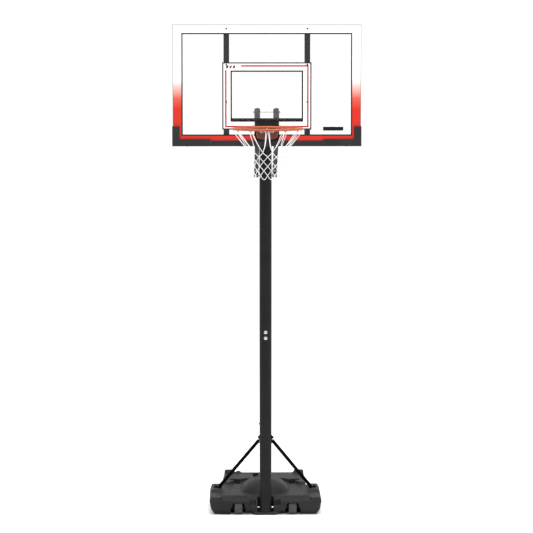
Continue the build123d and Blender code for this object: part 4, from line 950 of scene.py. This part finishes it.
# %% The ring and its weld beads
ring_low, ring_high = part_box("rim_ring")
ring_centre = (ring_low + ring_high) / 2
ROD_R = (ring_high.z - ring_low.z) / 2
RING_R = (ring_high.x - ring_low.x) / 2 - ROD_R
BEAD_R = 2.2 * MM
BEAD_OUT = 6.0 * MM
BEAD_WOBBLE = 0.5 * MM
SEAMS = ((165.5, 194.5, 6.0), (163.5, 167.5, -5.5), (192.5, 196.5, -5.5))


def around(angle, radius, z):
    """A point at an angle round the ring's axis, counted from the front."""
    return Vector((ring_centre.x + radius * math.sin(angle), ring_centre.y - radius * math.cos(angle), z))


let_go()
bpy.ops.mesh.primitive_torus_add(location=ring_centre, major_radius=RING_R, minor_radius=ROD_R,
                                 major_segments=160, minor_segments=24)
ring = bpy.context.object
settle(ring)
beads = [ring]
for low_angle, high_angle, z in SEAMS:
    count = int((high_angle - low_angle) * 1.6)
    seam = []
    for i in range(count + 1):
        angle = math.radians(low_angle + (high_angle - low_angle) * i / count)
        wobble = BEAD_WOBBLE * (1 if i % 2 else -1)
        seam.append(around(angle, RING_R + BEAD_OUT + wobble, ring_centre.z + z * MM))
    beads.append(round_tube("bead", seam, BEAD_R, False, 1, 2))
welded_ring = join("welded_ring", beads)
smooth(welded_ring, 60)
place(welded_ring, "rim", rim_orange, "rim_ring")

# %% [markdown]
# The apron is pressed from sheet, and its lower edge is rolled so that it can't cut a hand. The
# roll is one bent tube that follows the edge round the same cone as the sheet.

# %% The apron's rolled edge
apron_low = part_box("rim_brace")[0]
APRON_FOOT_R = 0.323
APRON_TOP_DROP = 2.3 * MM
APRON_HALF_SHEET = 1.5 * MM
ROLL_R = 2.0 * MM
EDGE_LINE = [(74, 2846), (73, 2838), (70, 2827), (61, 2814), (45, 2805.5), (24, 2802.5), (0, 2802)]


def on_apron(x, z):
    """The point of the apron's sheet at this x and z, in millimetres from the middle and floor."""
    share = (z * MM - apron_low.z) / (ring_centre.z - APRON_TOP_DROP - apron_low.z)
    radius = APRON_FOOT_R + (RING_R - APRON_FOOT_R) * share - APRON_HALF_SHEET
    return Vector((x * MM, ring_centre.y + math.sqrt(radius ** 2 - (x * MM) ** 2), z * MM))


edge_points = [on_apron(-x, z) for x, z in EDGE_LINE]
edge_points += [on_apron(x, z) for x, z in reversed(EDGE_LINE[:-1])]
rolled_edge = round_tube("apron_rolled_edge", edge_points, ROLL_R, False, 2, 4)
place(rolled_edge, "rim", rim_orange, slot="orange_steel")

# %% Twelve wire loops
HOOKS = 12
STEP = math.tau / HOOKS
hook_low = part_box("net_hooks")[0]
LOOP_WIRE_R = 2.2 * MM
LOOP_R = 8.0 * MM
loop_top = ring_centre.z - ROD_R + 2.0 * MM
loop_line = [Vector((-LOOP_R, 0, 2.5 * MM)), Vector((-LOOP_R, 0, 0))]
for degrees in range(205, 360, 25):
    angle = math.radians(degrees)
    loop_line.append(Vector((LOOP_R * math.cos(angle), 0, LOOP_R * math.sin(angle))))
loop_line += [Vector((LOOP_R, 0, 0)), Vector((LOOP_R, 0, 2.5 * MM))]
loop = round_tube("loop", loop_line, LOOP_WIRE_R, False, 2, 3)
loop_places = [(around(i * STEP, RING_R, loop_top), (0, 0, i * STEP)) for i in range(HOOKS)]
wire_loops = copies(loop, loop_places, "net_wire_loops")
place(wire_loops, "rim", rim_orange, "net_hooks")

# %% [markdown]
# ## The net
# A net is one cord. It hangs over a hook, runs down to the right through the knots, turns at the
# bottom, climbs to the right and goes over another hook seven places on, until it has used all
# twelve. The crossings are tied with small knots. A used net hangs with a slight twist and sag.

# %% Where the knots are
CORD_R = 2.1 * MM
TWIST = -0.014
SAG = 0.057
HOOK_FLOOR = hook_low.z + 4.4 * MM
ROWS = [(2.724, 0.128), (2.692, 0.119), (2.660, 0.111), (2.628, 0.105), (2.597, 0.100), (2.565, 0.097)]
TIP = (2.537, 0.094)
TIP_SPREAD = 0.11
TIP_RISE = 6 * MM
LEG_ANGLE = 0.030
LEG_IN = 2 * MM
LEG_DROP = 9 * MM
CROSSING = 0.55


def on_net(angle, radius, z):
    """A point of the hanging net, which is a little twisted and sags towards the board."""
    turned = angle + TWIST
    return around(turned, radius, z + radius * SAG * math.cos(turned))


def net_route():
    """The cord's points, once through every hook."""
    points = []
    cross = CORD_R * CROSSING
    for turn in range(HOOKS):
        start = turn * 7 * STEP
        points.append(around(start - LEG_ANGLE, RING_R - LEG_IN, HOOK_FLOOR - LEG_DROP))
        points.append(around(start, RING_R, HOOK_FLOOR + CORD_R))
        points.append(around(start + LEG_ANGLE, RING_R - LEG_IN, HOOK_FLOOR - LEG_DROP))
        for row, (z, radius) in enumerate(ROWS):
            lift = cross if row % 2 == 0 else -cross
            points.append(on_net(start + (row + 1) * STEP / 2, radius + lift, z))
        tip = start + (len(ROWS) + 1) * STEP / 2
        points.append(on_net(tip - TIP_SPREAD, TIP[1], TIP[0] + TIP_RISE))
        points.append(on_net(tip, TIP[1], TIP[0]))
        points.append(on_net(tip + TIP_SPREAD, TIP[1], TIP[0] + TIP_RISE))
        for row, (z, radius) in reversed(list(enumerate(ROWS))):
            lift = -cross if row % 2 == 0 else cross
            points.append(on_net(tip + (len(ROWS) - row) * STEP / 2, radius + lift, z))
    return points


# %% Lay the cord along the route
route = net_route()
cord_length = sum((b - a).length for a, b in zip(route, route[1:] + route[:1]))
cord_finish = plaited_cord(round(cord_length / (5 * MM)))
net_cord = round_tube("net_cord", route, CORD_R, True)
place(net_cord, "rim", cord_finish, "net", slot="net_cord")
print("net cord", round(cord_length, 2), "m,", "UV maps", len(net_cord.data.uv_layers))

# %% [markdown]
# A knot is a short turn of the same cord round the crossing. It is modelled once, and each copy is
# turned to face outwards at its own crossing.

# %% Tie the knots
KNOT_R = 2.4 * MM
KNOT_WIRE = 1.2 * MM
KNOT_H = 6 * MM
KNOT_TURNS = 1.5
KNOT_STEPS = 8
KNOT_LEAN = 0.5


def knot_turns():
    points = []
    for i in range(KNOT_STEPS + 1):
        angle = i / KNOT_STEPS * math.tau * KNOT_TURNS
        height = (i / KNOT_STEPS - 0.5) * KNOT_H
        points.append(Vector((KNOT_R * math.cos(angle), KNOT_R * math.sin(angle), height)))
    return points


first_knot = round_tube("knot", knot_turns(), KNOT_WIRE, False, sides=1, steps=3)
knot_places = []
for row, (z, radius) in enumerate(ROWS):
    lean = KNOT_LEAN if row % 2 else -KNOT_LEAN
    for i in range(HOOKS):
        angle = (i + (0.5 if row % 2 == 0 else 0.0)) * STEP
        knot_places.append((on_net(angle, radius, z), (0, lean, angle + TWIST)))
net_knots = copies(first_knot, knot_places, "net_knots")
place(net_knots, "rim", cord_finish, slot="net_cord")

# %% [markdown]
# ## The camera, the light and the floor
# A long lens far away, a little above the rim, sees the whole hoop almost without perspective.
# The light is a white studio: a bright surround, a broad soft lamp above and one at the right.

# %% Camera, lamps and floor
EYE = Vector((-0.261, -18.656, 3.636))
LENS = 173.0
YAW = math.radians(0.823)
PITCH = math.radians(5.51)
OVERHEAD_POWER = 520
SIDE_POWER = 50
SURROUND = 1.03
camera_data = bpy.data.cameras.new("camera")
camera_data.lens = LENS
camera_data.sensor_width = 36.0
camera_data.clip_end = 200.0
camera = bpy.data.objects.new("camera", camera_data)
bpy.context.scene.collection.objects.link(camera)
camera.location = EYE
camera.rotation_euler = (math.pi / 2 - PITCH, 0, -YAW)
bpy.context.scene.camera = camera


def soft_lamp(name, place_at, target, size, power):
    data = bpy.data.lights.new(name, "AREA")
    data.shape = "RECTANGLE"
    data.size, data.size_y = size
    data.energy = power
    lamp = bpy.data.objects.new(name, data)
    bpy.context.scene.collection.objects.link(lamp)
    lamp.location = place_at
    lamp.rotation_euler = (Vector(target) - Vector(place_at)).to_track_quat("-Z", "Y").to_euler()


soft_lamp("overhead", (0.3, -0.6, 8.0), (0.2, 0, 1.5), (5.0, 4.0), OVERHEAD_POWER)
soft_lamp("right_front", (6.0, -6.0, 4.0), (0, 0, 1.6), (3.0, 5.0), SIDE_POWER)

bpy.context.scene.view_settings.view_transform = "Standard"
world = bpy.data.worlds.new("studio")
world.use_nodes = True
world.node_tree.nodes["Background"].inputs["Color"].default_value = (1, 1, 1, 1)
world.node_tree.nodes["Background"].inputs["Strength"].default_value = SURROUND
bpy.context.scene.world = world

let_go()
bpy.ops.mesh.primitive_plane_add(size=60, location=(0, 0, cad_low.z))
floor = bpy.context.object
floor.name = "floor"
floor_finish = Finish("pale_floor", (0.98, 0.98, 0.98), 0.9, specular=0.1)
floor_finish.mottle(floor_finish.noise(2.0, 2.0), 0.995, 1.005)
floor.data.materials.append(floor_finish.material)
